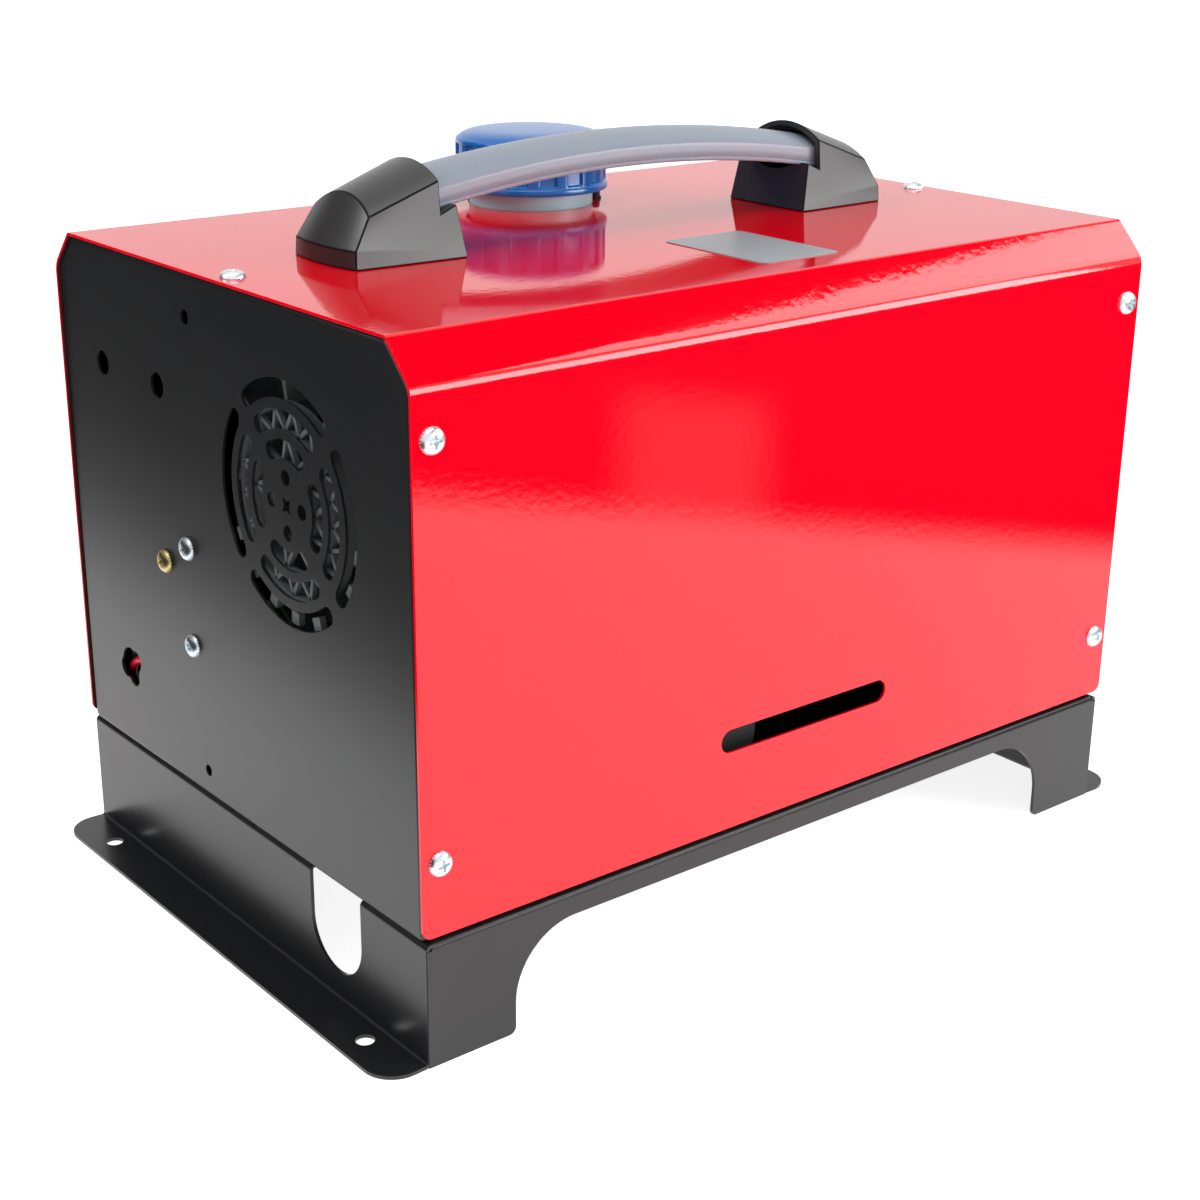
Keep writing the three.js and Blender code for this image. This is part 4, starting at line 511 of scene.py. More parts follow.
# ------------------------------------------------------------------ cover
# One red powder-coated sheet, 1.2 mm, folded over front, lid and back with a chamfer on
# each long edge. The front has a long slot, and the lid a round hole for the filler neck.
gloss_red = finish(
    "gloss_red", (0.86, 0.0, 0.011), 0.05, grain=0.03, size=3.0, drift=0.01,
    Specular_IOR_Level=0.5,
)
# The cover's inner face is a near-black red: painted shade inside the case.
red_inside_shade = finish("cover_inside_painted_shade", (0.05, 0.0, 0.002), 0.6, grain=0.02, size=1.0)
cover_low, cover_corner, lid_bend, shoulder_bend = 53.0, 4.0, 2.4, 9.0
neck_x, neck_y, neck_hole_r = 12.0, 71.0, 28.3
slot_from, slot_to, slot_z, slot_r = -43.6, 38.6, 91.0, 4.9


def cover_profile():
    """Half of the end view as two bends, at the shoulder and at the lid. A bend starts its
    radius times tan(turn / 2) before the corner of the chamfer."""
    slope = np.array([-half_lid, case_top]) - np.array([-half_width, shoulder])
    unit = slope / np.linalg.norm(slope)
    lean = math.degrees(math.atan2(slope[0], slope[1]))
    below = shoulder_bend * math.tan(math.radians(lean) / 2)
    beside = lid_bend * math.tan(math.radians(90 - lean) / 2)
    low = arc(-half_width + shoulder_bend, shoulder - below, shoulder_bend, 180, 180 - lean, 14)
    centre = (-half_lid, case_top) - unit * beside + np.array([unit[1], -unit[0]]) * lid_bend
    return low, arc(*centre, lid_bend, 180 - lean, 90, 8)


low_bend, high_bend = cover_profile()
front_top, lid_y, foot_z = low_bend[0, 1], -high_bend[-1, 0], cover_low + cover_corner
slot_hole = np.concatenate(
    [arc(slot_to, slot_z, slot_r, -90, 90, 16), arc(slot_from, slot_z, slot_r, 90, 270, 16)]
)[::-1]
parts = []
for side in (-1, 1):
    foot = [
        *arc(-half_case + cover_corner, foot_z, cover_corner, 180, 270, 8),
        *arc(half_case - cover_corner, foot_z, cover_corner, 270, 360, 8),
        (half_case, front_top), (-half_case, front_top),
    ]
    holes = [slot_hole] if side < 0 else []
    front = plate(facing_y(side * half_width), np.array(foot), *holes)
    parts.append(facing(front, (0, side, 0)))
    curve = np.concatenate([low_bend, high_bend])
    parts.append(facing(fold(facing_x, curve, -side, -half_case, half_case), (0, side, 1)))
neck_hole = arc(neck_x, neck_y, neck_hole_r, 0, 355, 71)[::-1]
lid = [(-half_case, -lid_y), (half_case, -lid_y), (half_case, lid_y), (-half_case, lid_y)]
parts.append(facing(plate(level(case_top), np.array(lid), neck_hole), (0, 0, 1)))
cover = piece("cover_sheet", parts, gloss_red, "case", "cover", as_drawn=True)
# The inner face takes the near-black red, as painted shade.
sheet(cover, 1.2, 0.22, inside=red_inside_shade)

# ------------------------------------------------------------------ rating label
# A plain silver-grey vinyl label, 0.3 mm thick with round corners, stuck on the lid. It is
# left blank.
lid_top = 270.05


def round_rect(x, y, half_x, half_y, radius, steps=8):
    """Four corner arcs about x, y, anticlockwise from the lower left; gaps are the sides."""
    reach_x, reach_y = half_x - radius, half_y - radius
    return np.concatenate(
        [
            arc(x + a * reach_x, y + b * reach_y, radius, start, start + 90, steps)
            for a, b, start in ((-1, -1, 180), (1, -1, 270), (1, 1, 0), (-1, 1, 90))
        ]
    )


label_grey = finish("label_vinyl", (0.34, 0.37, 0.395), 0.3, grain=0.004, size=1.2, drift=0.015)
label_x, label_y, label_half_x, label_half_y, label_top = 14, -72, 20.75, 29.5, 270.35
outline = round_rect(label_x, label_y, label_half_x, label_half_y, 3.0)
under, over = level(lid_top), level(label_top)
piece(
    "label_sticker",
    [plate(under, outline), band([under(outline), over(outline)]), plate(over, outline)],
    label_grey, "case", "rating_label",
)

# ------------------------------------------------------------------ screws
# Zinc-plated Phillips pan heads, M5 by 9: ten hold the cover, two the pump's clamp, and a
# yellow-passivated one is the earth. Each head is a low dome pressed with a cross recess.


def spin(profile, count=48):
    """Turns a line of (radius, height) round Z: rows along the line, columns round it."""
    angle = np.linspace(0, 2 * np.pi, count, endpoint=False)
    radius, height = np.array(profile, float).T[..., None]
    return np.stack([radius * np.cos(angle), radius * np.sin(angle), height + 0 * angle], -1)


def stand(points, centre, axis):
    """Turns Z to an axis such as (0, -1, 0) and moves the result to the centre."""
    z = np.array(axis, float)
    x = np.cross((0, 0, 1), z) if abs(z[2]) < 0.9 else np.array((1.0, 0, 0))
    x /= np.linalg.norm(x)
    return points @ np.stack([x, np.cross(z, x), z]) + np.array(centre, float)


def soft_step(value, width):
    """0 below zero and 1 above the width, with a smooth rise between."""
    share = np.clip(value / width, 0, 1)
    return share * share * (3 - 2 * share)


head_r, head_h, shank_r, pitch = 4.9, 2.55, 2.4, 0.8


def pan_head(angle):
    """A dome (1 - (r/R)^3.2)^0.55 high, less a cross of two wings that deepens to its middle."""
    radius = np.concatenate([np.linspace(0, 2.9, 26), np.linspace(3.1, head_r, 12)])
    grid = spin(np.column_stack([radius, 0 * radius]), 96)
    a, b, c, s = grid[..., 0], grid[..., 1], math.cos(angle), math.sin(angle)
    grid[..., 2] = head_h * (1 - (radius / head_r) ** 3.2)[:, None].clip(0) ** 0.55 + 0.05
    across = np.abs(c * a + s * b), np.abs(c * b - s * a)
    press = 0
    for along, beside in (across, across[::-1]):
        wing = (1.75 - 0.38 * along) * soft_step(0.62 - 0.09 * along - beside, 0.14)
        press = np.maximum(press, wing * soft_step(2.45 - along, 0.2))
    core = soft_step(1.15 - np.hypot(a, b), 0.35) * 1.6
    grid[..., 2] -= np.maximum(press, core)
    return grid


def shank(length):
    """A thread: the radius dips by 0.3 mm once a turn, a pitch apart along the shank."""
    height = np.linspace(-0.05, -length, int(length * 8))
    grid = spin(np.column_stack([np.full(len(height), shank_r), height]), 24)
    angle = np.arctan2(grid[..., 1], grid[..., 0])
    dip = 1 - 0.06 * (1 + np.cos(2 * np.pi * grid[..., 2] / pitch - angle))
    tip = np.clip((grid[..., 2] + length) / 1.2, 0.0, 1) ** 0.5 * 0.35 + 0.65
    grid[..., :2] *= (dip * tip)[..., None]
    return np.concatenate([grid, grid[-1:] * (0, 0, 1)])


plating = {"grain": 0.004, "size": 0.35, "drift": 0.12, "Metallic": 1.0}
zinc = finish("zinc_plate", (0.72, 0.78, 0.83), 0.34, **plating)
yellow_zinc = finish("yellow_zinc_plate", (0.62, 0.50, 0.24), 0.36, **plating)
cover_y, plate_x = 131.55, -189.25
screws = []
for number, (x, z) in enumerate(((-182, 236.5), (-182, 81.8), (182, 236.5), (182, 81.8)), 1):
    screws.append((f"cover_screw_front_{number}", (x, -cover_y, z), (0, -1, 0), 9))
    screws.append((f"cover_screw_back_{number}", (x, cover_y, z), (0, 1, 0), 9))
screws += [
    ("cover_screw_top_1", (-182, -4, lid_top), (0, 0, 1), 9),
    ("cover_screw_top_2", (182, -4, lid_top), (0, 0, 1), 9),
    ("clamp_screw_upper", (plate_x, 31, 156.9), (-1, 0, 0), 7),
    ("clamp_screw_lower", (plate_x, 31, 115.5), (-1, 0, 0), 7),
    ("earth_screw", (plate_x, 50.6, 146.4), (-1, 0, 0), 7),
]
for number, (name, centre, axis, length) in enumerate(screws):
    head = pan_head(0.06 + 2.4 * number)
    under = spin([(head_r, 0.05), (4.75, 0.0), (shank_r, 0.0), (shank_r, -0.05)], 24)
    parts = [band(stand(grid, centre, axis)) for grid in (head, under, shank(length))]
    look, slot = (yellow_zinc, "yellow_zinc") if name == "earth_screw" else (zinc, "zinc")
    piece(name + "_turned", parts, look, "case", name, smooth=50)

# ------------------------------------------------------------------ carrying handle
# Two black nylon brackets moulded with crisp edges, each a hood over a low block, and a
# grey translucent PVC strap bent between them. A bolt from under the lid holds each end.
black_plastic = finish(
    "black_nylon", (0.025, 0.025, 0.027), 0.29, grain=0.006, size=0.4, drift=0.05,
    Specular_IOR_Level=0.58,
)
# A near-black, duller nylon for the brackets' rounded edges: painted shade, the dark line along
# each edge.
edge_shade_black = finish(
    "nylon_painted_edge_shade", (0.004, 0.004, 0.005), 0.5, drift=0.05, Specular_IOR_Level=0.15
)
# A bracket is drawn from its inner end, 90 from the middle, outwards: mouth and nose are
# distances from there, the _y values half widths and the _h values heights.
bracket_x, mouth, nose, fall, lean, wall = 90, 11, 51.4, 0.3387, 0.6526, 2.7
foot_y, shoulder_y, mouth_y, chin_y = 23.6, 21.0, 22.21, 22.02
base_y, base_mouth_y, base_nose_y, base_nose = 23.74, 23.81, 24.09, 51.7
chin, chin_h, mouth_h, foot_h, nose_h = 3.8, 20.6, 17.5, 2.04, 7


def patch(a, b, c, d, us, vs):
    """The surface between four corners: a to b along u, a to d along v."""
    u, v = np.array(us)[:, None, None], np.array(vs)[None, :, None]
    a, b, c, d = (np.array(corner, float) for corner in (a, b, c, d))
    return (1 - u) * (1 - v) * a + u * (1 - v) * b + u * v * c + (1 - u) * v * d


def crown(y):
    """The hood's arched top across the handle: 36.5 high, 30 at its shoulders."""
    return 36.5 - 37.19 + np.sqrt(37.19**2 - y * y)


def toe(y):
    """The foot of the nose, which bows out by 3 in its middle."""
    return nose + 3 * (1 - (y / shoulder_y) ** 2)


def ridge(y):
    """Where the top, which drops by fall, meets the nose, which leans back by lean."""
    return (toe(y) - lean * (crown(y) + mouth * fall - nose_h)) / (1 - lean * fall)


def arch(flank, y, height):
    """A flank, the arched top and the flank mirrored, as one line across the handle."""
    return np.concatenate([flank * (-1, 1), np.column_stack([y, height])[1:-1], flank[::-1]])


def slim(points):
    """Width times 1 - 0.09 s / 51.4, and 4.5 percent less length past the hood's mouth."""
    out = points[..., 0]
    slimmer = points.copy()
    slimmer[..., 1] *= 1 - 0.09 * out / nose
    slimmer[..., 0] -= 0.045 * (out - mouth).clip(0)
    return slimmer


brow, ridge_s, share = float(crown(shoulder_y)), float(ridge(shoulder_y)), 0.5358
half_way, ends_only = [0, 0.5, 1], [0, 1]
down, chin_up = np.linspace(0, 1, 13), np.linspace(0, 1, 9)
up = np.concatenate([np.linspace(0, share, 9), np.linspace(share, 1, 8)[1:]])
grids = []
for side in (-1, 1):
    chin_low, chin_top = (0.3763, side * foot_y, foot_h), (chin, side * chin_y, chin_h)
    mouth_low, mouth_top = (mouth, side * foot_y, 3.07), (mouth, side * mouth_y, mouth_h)
    nose_low, brow_top = (nose, side * foot_y, nose_h), (mouth, side * shoulder_y, brow)
    nose_top = (ridge_s, side * shoulder_y, brow - fall * (ridge_s - mouth))
    base_in, base_mid = (0, side * base_y, 0), (mouth, side * base_mouth_y, 0)
    base_out = (base_nose, side * base_nose_y, 0)
    grids += [
        patch(chin_low, mouth_low, mouth_top, chin_top, half_way, chin_up),
        patch(mouth_low, nose_low, nose_top, brow_top, down, up),
        patch(base_in, base_mid, mouth_low, chin_low, half_way, ends_only),
        patch(base_mid, base_out, nose_low, mouth_low, down, ends_only),
    ]
y = np.linspace(-shoulder_y, shoulder_y, 29)
s = mouth + down[:, None] * (ridge(y) - mouth)
grids.append(np.stack([s, np.broadcast_to(y, s.shape), crown(y) - fall * (s - mouth)], -1))
top = np.stack([ridge(y), y, crown(y) - fall * (ridge(y) - mouth)], -1)
toe_line = np.stack([toe(y), y * foot_y / shoulder_y, 0 * y + nose_h], -1)
grids.append(toe_line + up[:, None, None] * (top - toe_line))
toe_foot = toe_line * (1, base_nose_y / foot_y, 0) + (0.3, 0, 0)
grids.append(np.stack([toe_foot, toe_line]))
# The chin dips by 4 under the strap, over 14 each side of the middle, and a ledge leads
# from it into the mouth.
across = np.linspace(-1, 1, 33)
dip = 4.0 * (1 - (across * 22.0 / 14.0) ** 2).clip(0)
rise = np.array([0, *(foot_h + (chin_h - foot_h) * chin_up)])
half = np.array([base_y, *(foot_y + (chin_y - foot_y) * chin_up)])
height = rise[:, None] * (1 - dip / chin_h)
grids.append(np.stack([height * chin / chin_h, half[:, None] * across, height], -1))
u = np.array(half_way)[:, None]
ledge_s = chin + 7.2 * u - (1 - u) * dip * chin / chin_h
ledge_h = chin_h - 3.1 * u - dip * (1 - 0.45 * u)
grids.append(np.stack([ledge_s, (chin_y + 0.19 * u) * across, ledge_h], -1))
deep = np.stack([0 * across + mouth, across * mouth_y, ledge_h[-1]], -1)
grids.append(np.stack([deep, deep + (23, 0, -2.2)]))
mouth_side, brow_side = np.array([mouth_y, mouth_h]), np.array([shoulder_y, brow])
rim = mouth_side + (brow_side - mouth_side) * (up[8:, None] - share) / (1 - share)
inner_h = rim[:, 1] - wall * 0.8 * (rim[:, 1] - mouth_h) / 12.5
crown_in = crown(y) - wall * (0.8 + 0.2 * (1 - (y / shoulder_y) ** 2))
inner = np.column_stack([rim[:, 0] - wall, inner_h])
opening = arch(inner, y * (shoulder_y - wall) / shoulder_y, crown_in)
opening[0, 1] = opening[-1, 1] = mouth_h
hood, opening = facing_x(mouth)(arch(rim, y, crown(y))), facing_x(mouth)(opening)
grids.append(np.stack([hood, opening, opening * (1, 0.97, 1) + (9, 0, -3.4)]))
hem = np.concatenate([[0, 5.5], mouth + down * 40.7])
hem_y = np.interp(hem, [0, mouth, base_nose], [base_y, base_mouth_y, base_nose_y])
hem = np.column_stack([hem, hem_y])
inner_hem = np.column_stack([0 * across, base_y * across])[::-1]
sole = slim(np.concatenate([inner_hem, hem[1:-1] * (1, -1), toe_foot[:, :2], hem[-2:0:-1]]))
for name, end in (("handle_bracket_left", -1), ("handle_bracket_right", 1)):
    shapes = [strip((slim(grid) + (bracket_x, 0, lid_top)) * (end, 1, 1)) for grid in grids]
    shapes.append(plate(lambda p: level(lid_top)((p + (bracket_x, 0)) * (end, 1)), sole))
    made = piece(name + "_moulding", shapes, black_plastic, "case", name, smooth=7)
    # The rounded edges get the near-black nylon: painted shade along every edge.
    made.data.materials.append(edge_shade_black)
    edge_shade_round = soften(made, 0.5, 24)
    edge_shade_round.material, edge_shade_round.use_clamp_overlap = 1, False
    even_shade(made)

# The strap's section rides a low arch, 27 - 8 (x / 97)^2 above the lid, square to its slope.
strap_grey = finish(
    "strap_pvc", (0.27, 0.305, 0.375), 0.34, grain=0.003, size=1.5, drift=0.03,
    Subsurface_Weight=0.55, Subsurface_Scale=0.004,
)
flank = [
    (16.5, 0.0), *arc(16.6, 0.9, 0.9, -90, 0, 4), (17.5, 1.5), (17.2, 1.8), (17.45, 2.15),
    (17.6, 4.5), (17.5, 6.6), *arc(16.1, 6.9, 1.4, 0, 62, 5),
]
crest = [(y, 8 + 5 * (1 - (y / 17.5) ** 2)) for y in np.linspace(15.6, -15.6, 25)]
section = np.array([*flank, *crest, *[(-y, h) for y, h in flank[::-1]]])
station = np.linspace(-124, 124, 125)[:, None]
slope = -16 * station / 97**2
length = np.hypot(1, slope)
lift = section[:, 1]
strap = np.stack(
    [
        station - slope / length * lift,
        np.broadcast_to(section[:, 0], (len(station), len(section))),
        270 + (27 - 8 * (station / 97) ** 2) + lift / length,
    ],
    -1,
)
near_end = 0 * strap[0] + strap[0].mean(0)
piece(
    "strap_moulding", [band([near_end, *strap])],
    strap_grey, "case", "handle_strap", smooth=40,
)

# ------------------------------------------------------------------ fuel tank and cap
# The tank is blown in milky polyethylene with its neck through the lid. A blue ribbed cap
# screws on it over a rubber seal, and a small rubber vent plug stands beside it.
# Its colour leans blue-green, a painted tint that cancels the red light the neck picks up from the
# lid.
tank_counter_tint = finish(
    "milky_tank", (0.47, 0.70, 0.76), 0.35, grain=0.01, size=2.0, drift=0.03,
    Subsurface_Weight=0.2, Subsurface_Scale=0.002,
)
neck_r, neck_bore, tank_wall, tank_corner = 27.7, 24.5, 2.5, 14.0
tank_x, tank_y, tank_half_x, tank_half_y = 16, 73.75, 134, 50.75


def even(loop, count=240):
    """Points evenly spaced along a closed loop."""
    ring = np.concatenate([loop, loop[:1]])
    gone = np.concatenate([[0], np.cumsum(np.linalg.norm(np.diff(ring, axis=0), axis=1))])
    want = np.linspace(0, gone[-1], count, endpoint=False)
    return np.column_stack([np.interp(want, gone, ring[:, axis]) for axis in (0, 1)])


def neck_ring(around, radius, z):
    """A ring of the neck; its radius may change from column to column."""
    return level(z)(
        np.column_stack([neck_x + radius * np.cos(around), neck_y + radius * np.sin(around)])
    )


def tank_loops(shrink, hole):
    """Loops up a rounded box, shrunk, from the middle of its floor to the foot of the neck,
    and the angles of the last one's points about the neck."""
    edge = max(7.0 - shrink, 1.0)
    low, high = 50.9 + shrink, 262.9 - shrink
    quarter = np.radians(np.linspace(0, 90, 7))
    rows = [(edge + (1 - fraction) * 30, low) for fraction in (0.02, 0.5, 0.8)]
    rows += [(edge * (1 - math.sin(a)), low + edge * (1 - math.cos(a))) for a in quarter]
    rows += [(edge * (1 - math.sin(a)), high - edge * (1 - math.cos(a))) for a in quarter[::-1]]
    loops = []
    for inset, z in rows:
        inset += shrink
        size = tank_half_x - inset, tank_half_y - inset, max(tank_corner - inset, 2.0)
        loops.append(level(z)(even(round_rect(tank_x, tank_y, *size, 9))))
    last = loops[-1]
    angle = np.arctan2(last[:, 1] - neck_y, last[:, 0] - neck_x)
    ring = neck_ring(angle, hole, high)
    loops += [last + share * (ring - last) for share in (0.5, 0.85, 1.0)]
    first = loops[0].copy()
    first[:, :2] = first[:, :2].mean(0)
    return [first, *loops], angle


def turned(profile, count, centre):
    """A line of (radius, x) turned about an axis along X that goes through the centre."""
    return band(stand(spin(profile, count), centre, (1, 0, 0)))


outside, around = tank_loops(0.0, neck_r)
inside, _ = tank_loops(tank_wall, neck_bore)
thread_turn = (around % (2 * np.pi)) / (2 * np.pi)
rings = []
for z in np.linspace(263.2, 293.6, 62):
    phase = (z - 278.7) / 6 - thread_turn
    near = np.abs(phase - np.round(phase)) * 6
    threaded = (z > 277.2) & (z < 289)
    rings.append(neck_ring(around, neck_r + (1.0 - soft_step(near - 0.3, 0.9)) * threaded, z))
for angle in np.radians(np.linspace(0, 180, 9)):
    rings.append(neck_ring(around, 26.1 + 1.6 * math.cos(angle), 293.6 + 0.9 * math.sin(angle)))
rings += [neck_ring(around, neck_bore, z) for z in (290.0, 276.0, 262.0)]
spigot = [(0.0, 0), (1.3, 0), (2.0, 0.3), (2.2, 2.5), (2.2, 11), (4.4, 13.5), (4.4, 16)]
shapes = [band([*outside, *rings, *inside[::-1]]), turned(spigot, 24, (-132, 100, 72.9))]
piece("tank_blown", shapes, tank_counter_tint, "case", "fuel_tank", smooth=60)

cap_blue = finish(
    "blue_polypropylene", (0.0, 0.14, 0.50), 0.2, grain=0.004, size=1.2, drift=0.05,
    Specular_IOR_Level=0.6,
)
cap_r = 33.6
profile = [
    (0, 32.5), (10, 32.45), (20, 32.2), (25, 31.8), (28.5, 31.1), (30.6, 30.3), (31.7, 29.6),
    (32.4, 29.0), (33.0, 28.7), (33.4, 28.3), (cap_r, 27.8), (cap_r, 27.2),
    *[(cap_r, z) for z in (26.8, 26.4, 26.0, 25.6, 25.2, 20.0, 15.0, 11.4, 11.0, 10.6, 10.2)],
    (33.65, 9.8), (34.2, 9.5), (34.4, 9.1), (34.4, 7.3), (34.1, 6.8), (cap_r, 6.7),
    (29.6, 6.7), (29.2, 7.1), (29.2, 15), (29.2, 26.5), (28, 26.5), (0, 26.5),
]
radius, height = np.array(profile).T
grid = spin(profile, 320)
angle = np.arctan2(grid[..., 1], grid[..., 0])
wave = np.abs((angle * 16 / (2 * np.pi) + 0.556) % 1 - 0.5)
pocket = soft_step(0.31 - wave, 0.045)
tall = soft_step(26.9 - height, 1.2) * soft_step(height - 10.2, 0.9) * (radius > 33.5)
grid[..., :2] *= (1 - pocket * tall[:, None] * 1.3 / cap_r)[..., None]
cap = band(grid + (neck_x, neck_y, case_top))
piece("cap_moulding", [cap], cap_blue, "cap", "fuel_cap", smooth=38)


def washer(inner, outer, low, high):
    """The square section of a ring, between two radii and two heights."""
    return [(inner, low), (outer, low), (outer, high), (inner, high), (inner, low)]


rubber = finish("black_rubber", (0.012, 0.012, 0.012), 0.6, grain=0.01, size=0.5)
seal = band(spin(washer(23.5, 28.9, 24.8, 26.2), 64) + (neck_x, neck_y, case_top))
piece("seal_ring", [seal], rubber, "cap_lifter", "cap_seal")
plug = [
    (0, -5), (1.7, -5), (1.7, 0.05), (2.4, 0.05), (2.5, 0.5), (2.3, 1.0), (1.9, 1.6),
    (1.9, 2.8), (1.7, 3.8), (1.1, 4.4), (0, 4.6),
]
plug = band(spin(plug, 32) + (40.6, 60, case_top))
piece("vent_plug_moulding", [plug], rubber, "case", "vent_plug", smooth=50)

# ------------------------------------------------------------------ fuel lines and leads
# Green nylon fuel line runs from the tank to the filter, the pump and the burner. A red and
# a black lead come from the board, lie on the deck and pass behind the cable hole.


def tube(points, radius, count=20, per=12):
    """A round line through the points: a Catmull-Rom path with rings square to it."""
    points = np.array(points, float)
    knots = np.concatenate([[2 * points[0] - points[1]], points, [2 * points[-1] - points[-2]]])
    t = np.linspace(0, 1, per, endpoint=False)[:, None]
    path = [
        0.5 * (2 * b + (c - a) * t + (2 * a - 5 * b + 4 * c - d) * t**2
               + (3 * b - a - 3 * c + d) * t**3)
        for a, b, c, d in zip(knots[:-3], knots[1:-2], knots[2:-1], knots[3:])
    ]
    path = np.concatenate([*path, points[-1:]])
    along = np.gradient(path, axis=0)
    along /= np.linalg.norm(along, axis=1)[:, None]
    angle = np.linspace(0, 2 * np.pi, count, endpoint=False)[:, None]
    beside = np.cross(along[0], (0.3, 0.2, 0.9))
    rows = [np.tile(path[0], (count, 1))]
    for spot, way in zip(path, along):
        beside = beside - way * (beside @ way)
        beside /= np.linalg.norm(beside)
        other = np.cross(way, beside)
        rows.append(spot + radius * (np.cos(angle) * beside + np.sin(angle) * other))
    return band([*rows, np.tile(path[-1], (count, 1))])


fuel_green = finish(
    "green_nylon", (0.05, 0.27, 0.10), 0.35, drift=0.03,
    Subsurface_Weight=0.2, Subsurface_Scale=0.002,
)
for name, route in (
    ("fuel_line_tank", [
        (-132.3, 100, 72.9), (-137.3, 100, 72.9), (-153, 99, 76.45), (-161, 83.3, 80),
        (-162, 77.3, 80), (-162, 74.3, 80),
    ]),
    ("fuel_line_pump", [
        (-162, 29.7, 80), (-162, 23.7, 80), (-165, -20.3, 92), (-168, -24.3, 108.1),
        (-168, -16.3, 126.2), (-168, -5.3, 136.2), (-168, -0.3, 136.2),
    ]),
    ("fuel_line_burner", [
        (-168, 62.3, 136.2), (-168, 68.3, 136.2), (-154, 76.3, 144.2), (-138, 58.3, 154.2),
        (-132, 30, 166.5), (-118, 14, 168.5), (-90.3, 12, 168.5), (-78.3, 12, 168.5),
    ]),
):
    piece(name + "_hose", [tube(route, 2.5)], fuel_green, "case", name, smooth=60)
red_wire = finish("red_lead", (0.62, 0.006, 0.03), 0.3, drift=0.03)
black_wire = finish("black_lead", (0.012, 0.012, 0.013), 0.35, drift=0.03)
# Each point of the red lead's route has the way in which the black one lies beside it.
route = [
    ((-140, -60, 139.2), (0, 1, 0)), ((-141, -60, 109.5), (0, 1, 0)),
    ((-148, -58, 76.1), (0, 1, 0)), ((-160, -46, 58.1), (0.5, 0.6, 0.5)),
    ((-174, -10, 54.1), (0.5, 0, 0.87)), ((-178, 40, 60.1), (0.3, -0.2, 0.94)),
    ((-182.5, 77, 82), (0.2, -0.3, 0.75)), ((-184.2, 86, 90), (0.15, 0.1, 0.75)),
    ((-184.2, 95, 87), (0.15, 0.25, 0.7)), ((-182, 103.5, 80), (0.5, 0.35, 0.5)),
    ((-176, 114, 66.1), (0.9, 0.44, 0)), ((-175, 117, 54.1), (0.9, 0.44, 0)),
]
for name, apart, look, slot in (
    ("power_lead_red", 0.0, red_wire, "red_wire"),
    ("power_lead_black", 5.78, black_wire, "black_wire"),
):
    points = [np.array(point) + apart * np.array(aside) for point, aside in route]
    piece(name + "_cable", [tube(points, 1.85)], look, "case", name, smooth=60)

# ------------------------------------------------------------------ heater unit
# The burner and its blower hang in a two-part plastic shell on a folded steel stand. Behind
# the vent is a guard of hoops, crossed ribs and teeth. The rest can only be glimpsed, or not
# seen at all, and keeps its solid's shape.
steel = finish(
    "bright_steel", (0.42, 0.43, 0.45), 0.32, grain=0.003, size=0.4, drift=0.08, Metallic=1.0
)
cast = finish(
    "cast_aluminium", (0.58, 0.59, 0.60), 0.42, grain=0.03, size=0.8, drift=0.06, Metallic=1.0
)
brass = finish("turned_brass", (0.60, 0.42, 0.13), 0.3, drift=0.06, Metallic=1.0)
board_green = finish("board_lacquer", (0.012, 0.14, 0.045), 0.35, drift=0.1)
gasket = finish("gasket_fibre", (0.2, 0.19, 0.17), 0.85, grain=0.05, size=0.6)
grey_powder = finish("stand_powder", (0.05, 0.052, 0.056), 0.45, grain=0.012, size=0.55)
# The shell's nylon is darker and duller than the brackets' nylon: painted shade for the inside of
# the case.
shaded_shell_black = finish(
    "shell_nylon_painted_shade", (0.008, 0.008, 0.009), 0.6, grain=0.01, size=0.4, Specular_IOR_Level=0.2
)
# The guard's nylon is grey, lighter than the black nylon: painted sheen for the light its ribs
# catch.
guard_grey_sheen = finish("guard_nylon_painted_sheen", (0.13, 0.135, 0.14), 0.5, grain=0.006, size=0.4, drift=0.06)
shaft = (0, vent_y, vent_z)
guard_x = -186.6


def bar(r0, a0, r1, a1, width, x0, x1):
    """A straight rib between two points given by radius and angle round the shaft."""
    start, stop = about_vent(r0, a0), about_vent(r1, a1)
    way = stop - start
    beside = np.array([-way[1], way[0]]) / np.linalg.norm(way) * width / 2
    loop = np.array([start - beside, stop - beside, stop + beside, start + beside])
    middle = np.tile(loop.mean(0), (4, 1))
    rows = (x0, middle), (x0, loop), (x1, loop), (x1, middle)
    return band([facing_x(x)(row) for x, row in rows])


shapes = []
for radius, width, x0, x1 in (
    (14.0, 3.0, guard_x, -183), (26.5, 1.8, guard_x, -184),
    (36.6, 2.0, guard_x, -183), (49.0, 4.0, -170, -148.3),
):
    hoop = washer(radius - width / 2, radius + width / 2, x0, x1)
    shapes.append(turned(hoop, 96, shaft))
rib = 1.6, guard_x, guard_x + 2
for number in range(18):
    middle = number * 20 + 4
    shapes += [bar(27, middle, 35.6, middle + lean, *rib) for lean in (10, -10)]
    if number % 2:
        shapes += [bar(14.5, middle, 26, middle + lean, *rib) for lean in (20, -20)]
    if 190 < middle + 8 < 350:
        shapes.append(bar(42.0, middle + 8, 47.0, middle + 8, 5.0, guard_x, -184))
for number in range(9):
    shapes.append(bar(36.6, number * 40, 50, number * 40, 2.4, -183.5, -166))
piece("intake_guard", shapes, guard_grey_sheen, "case", "intake_grille", smooth=30)
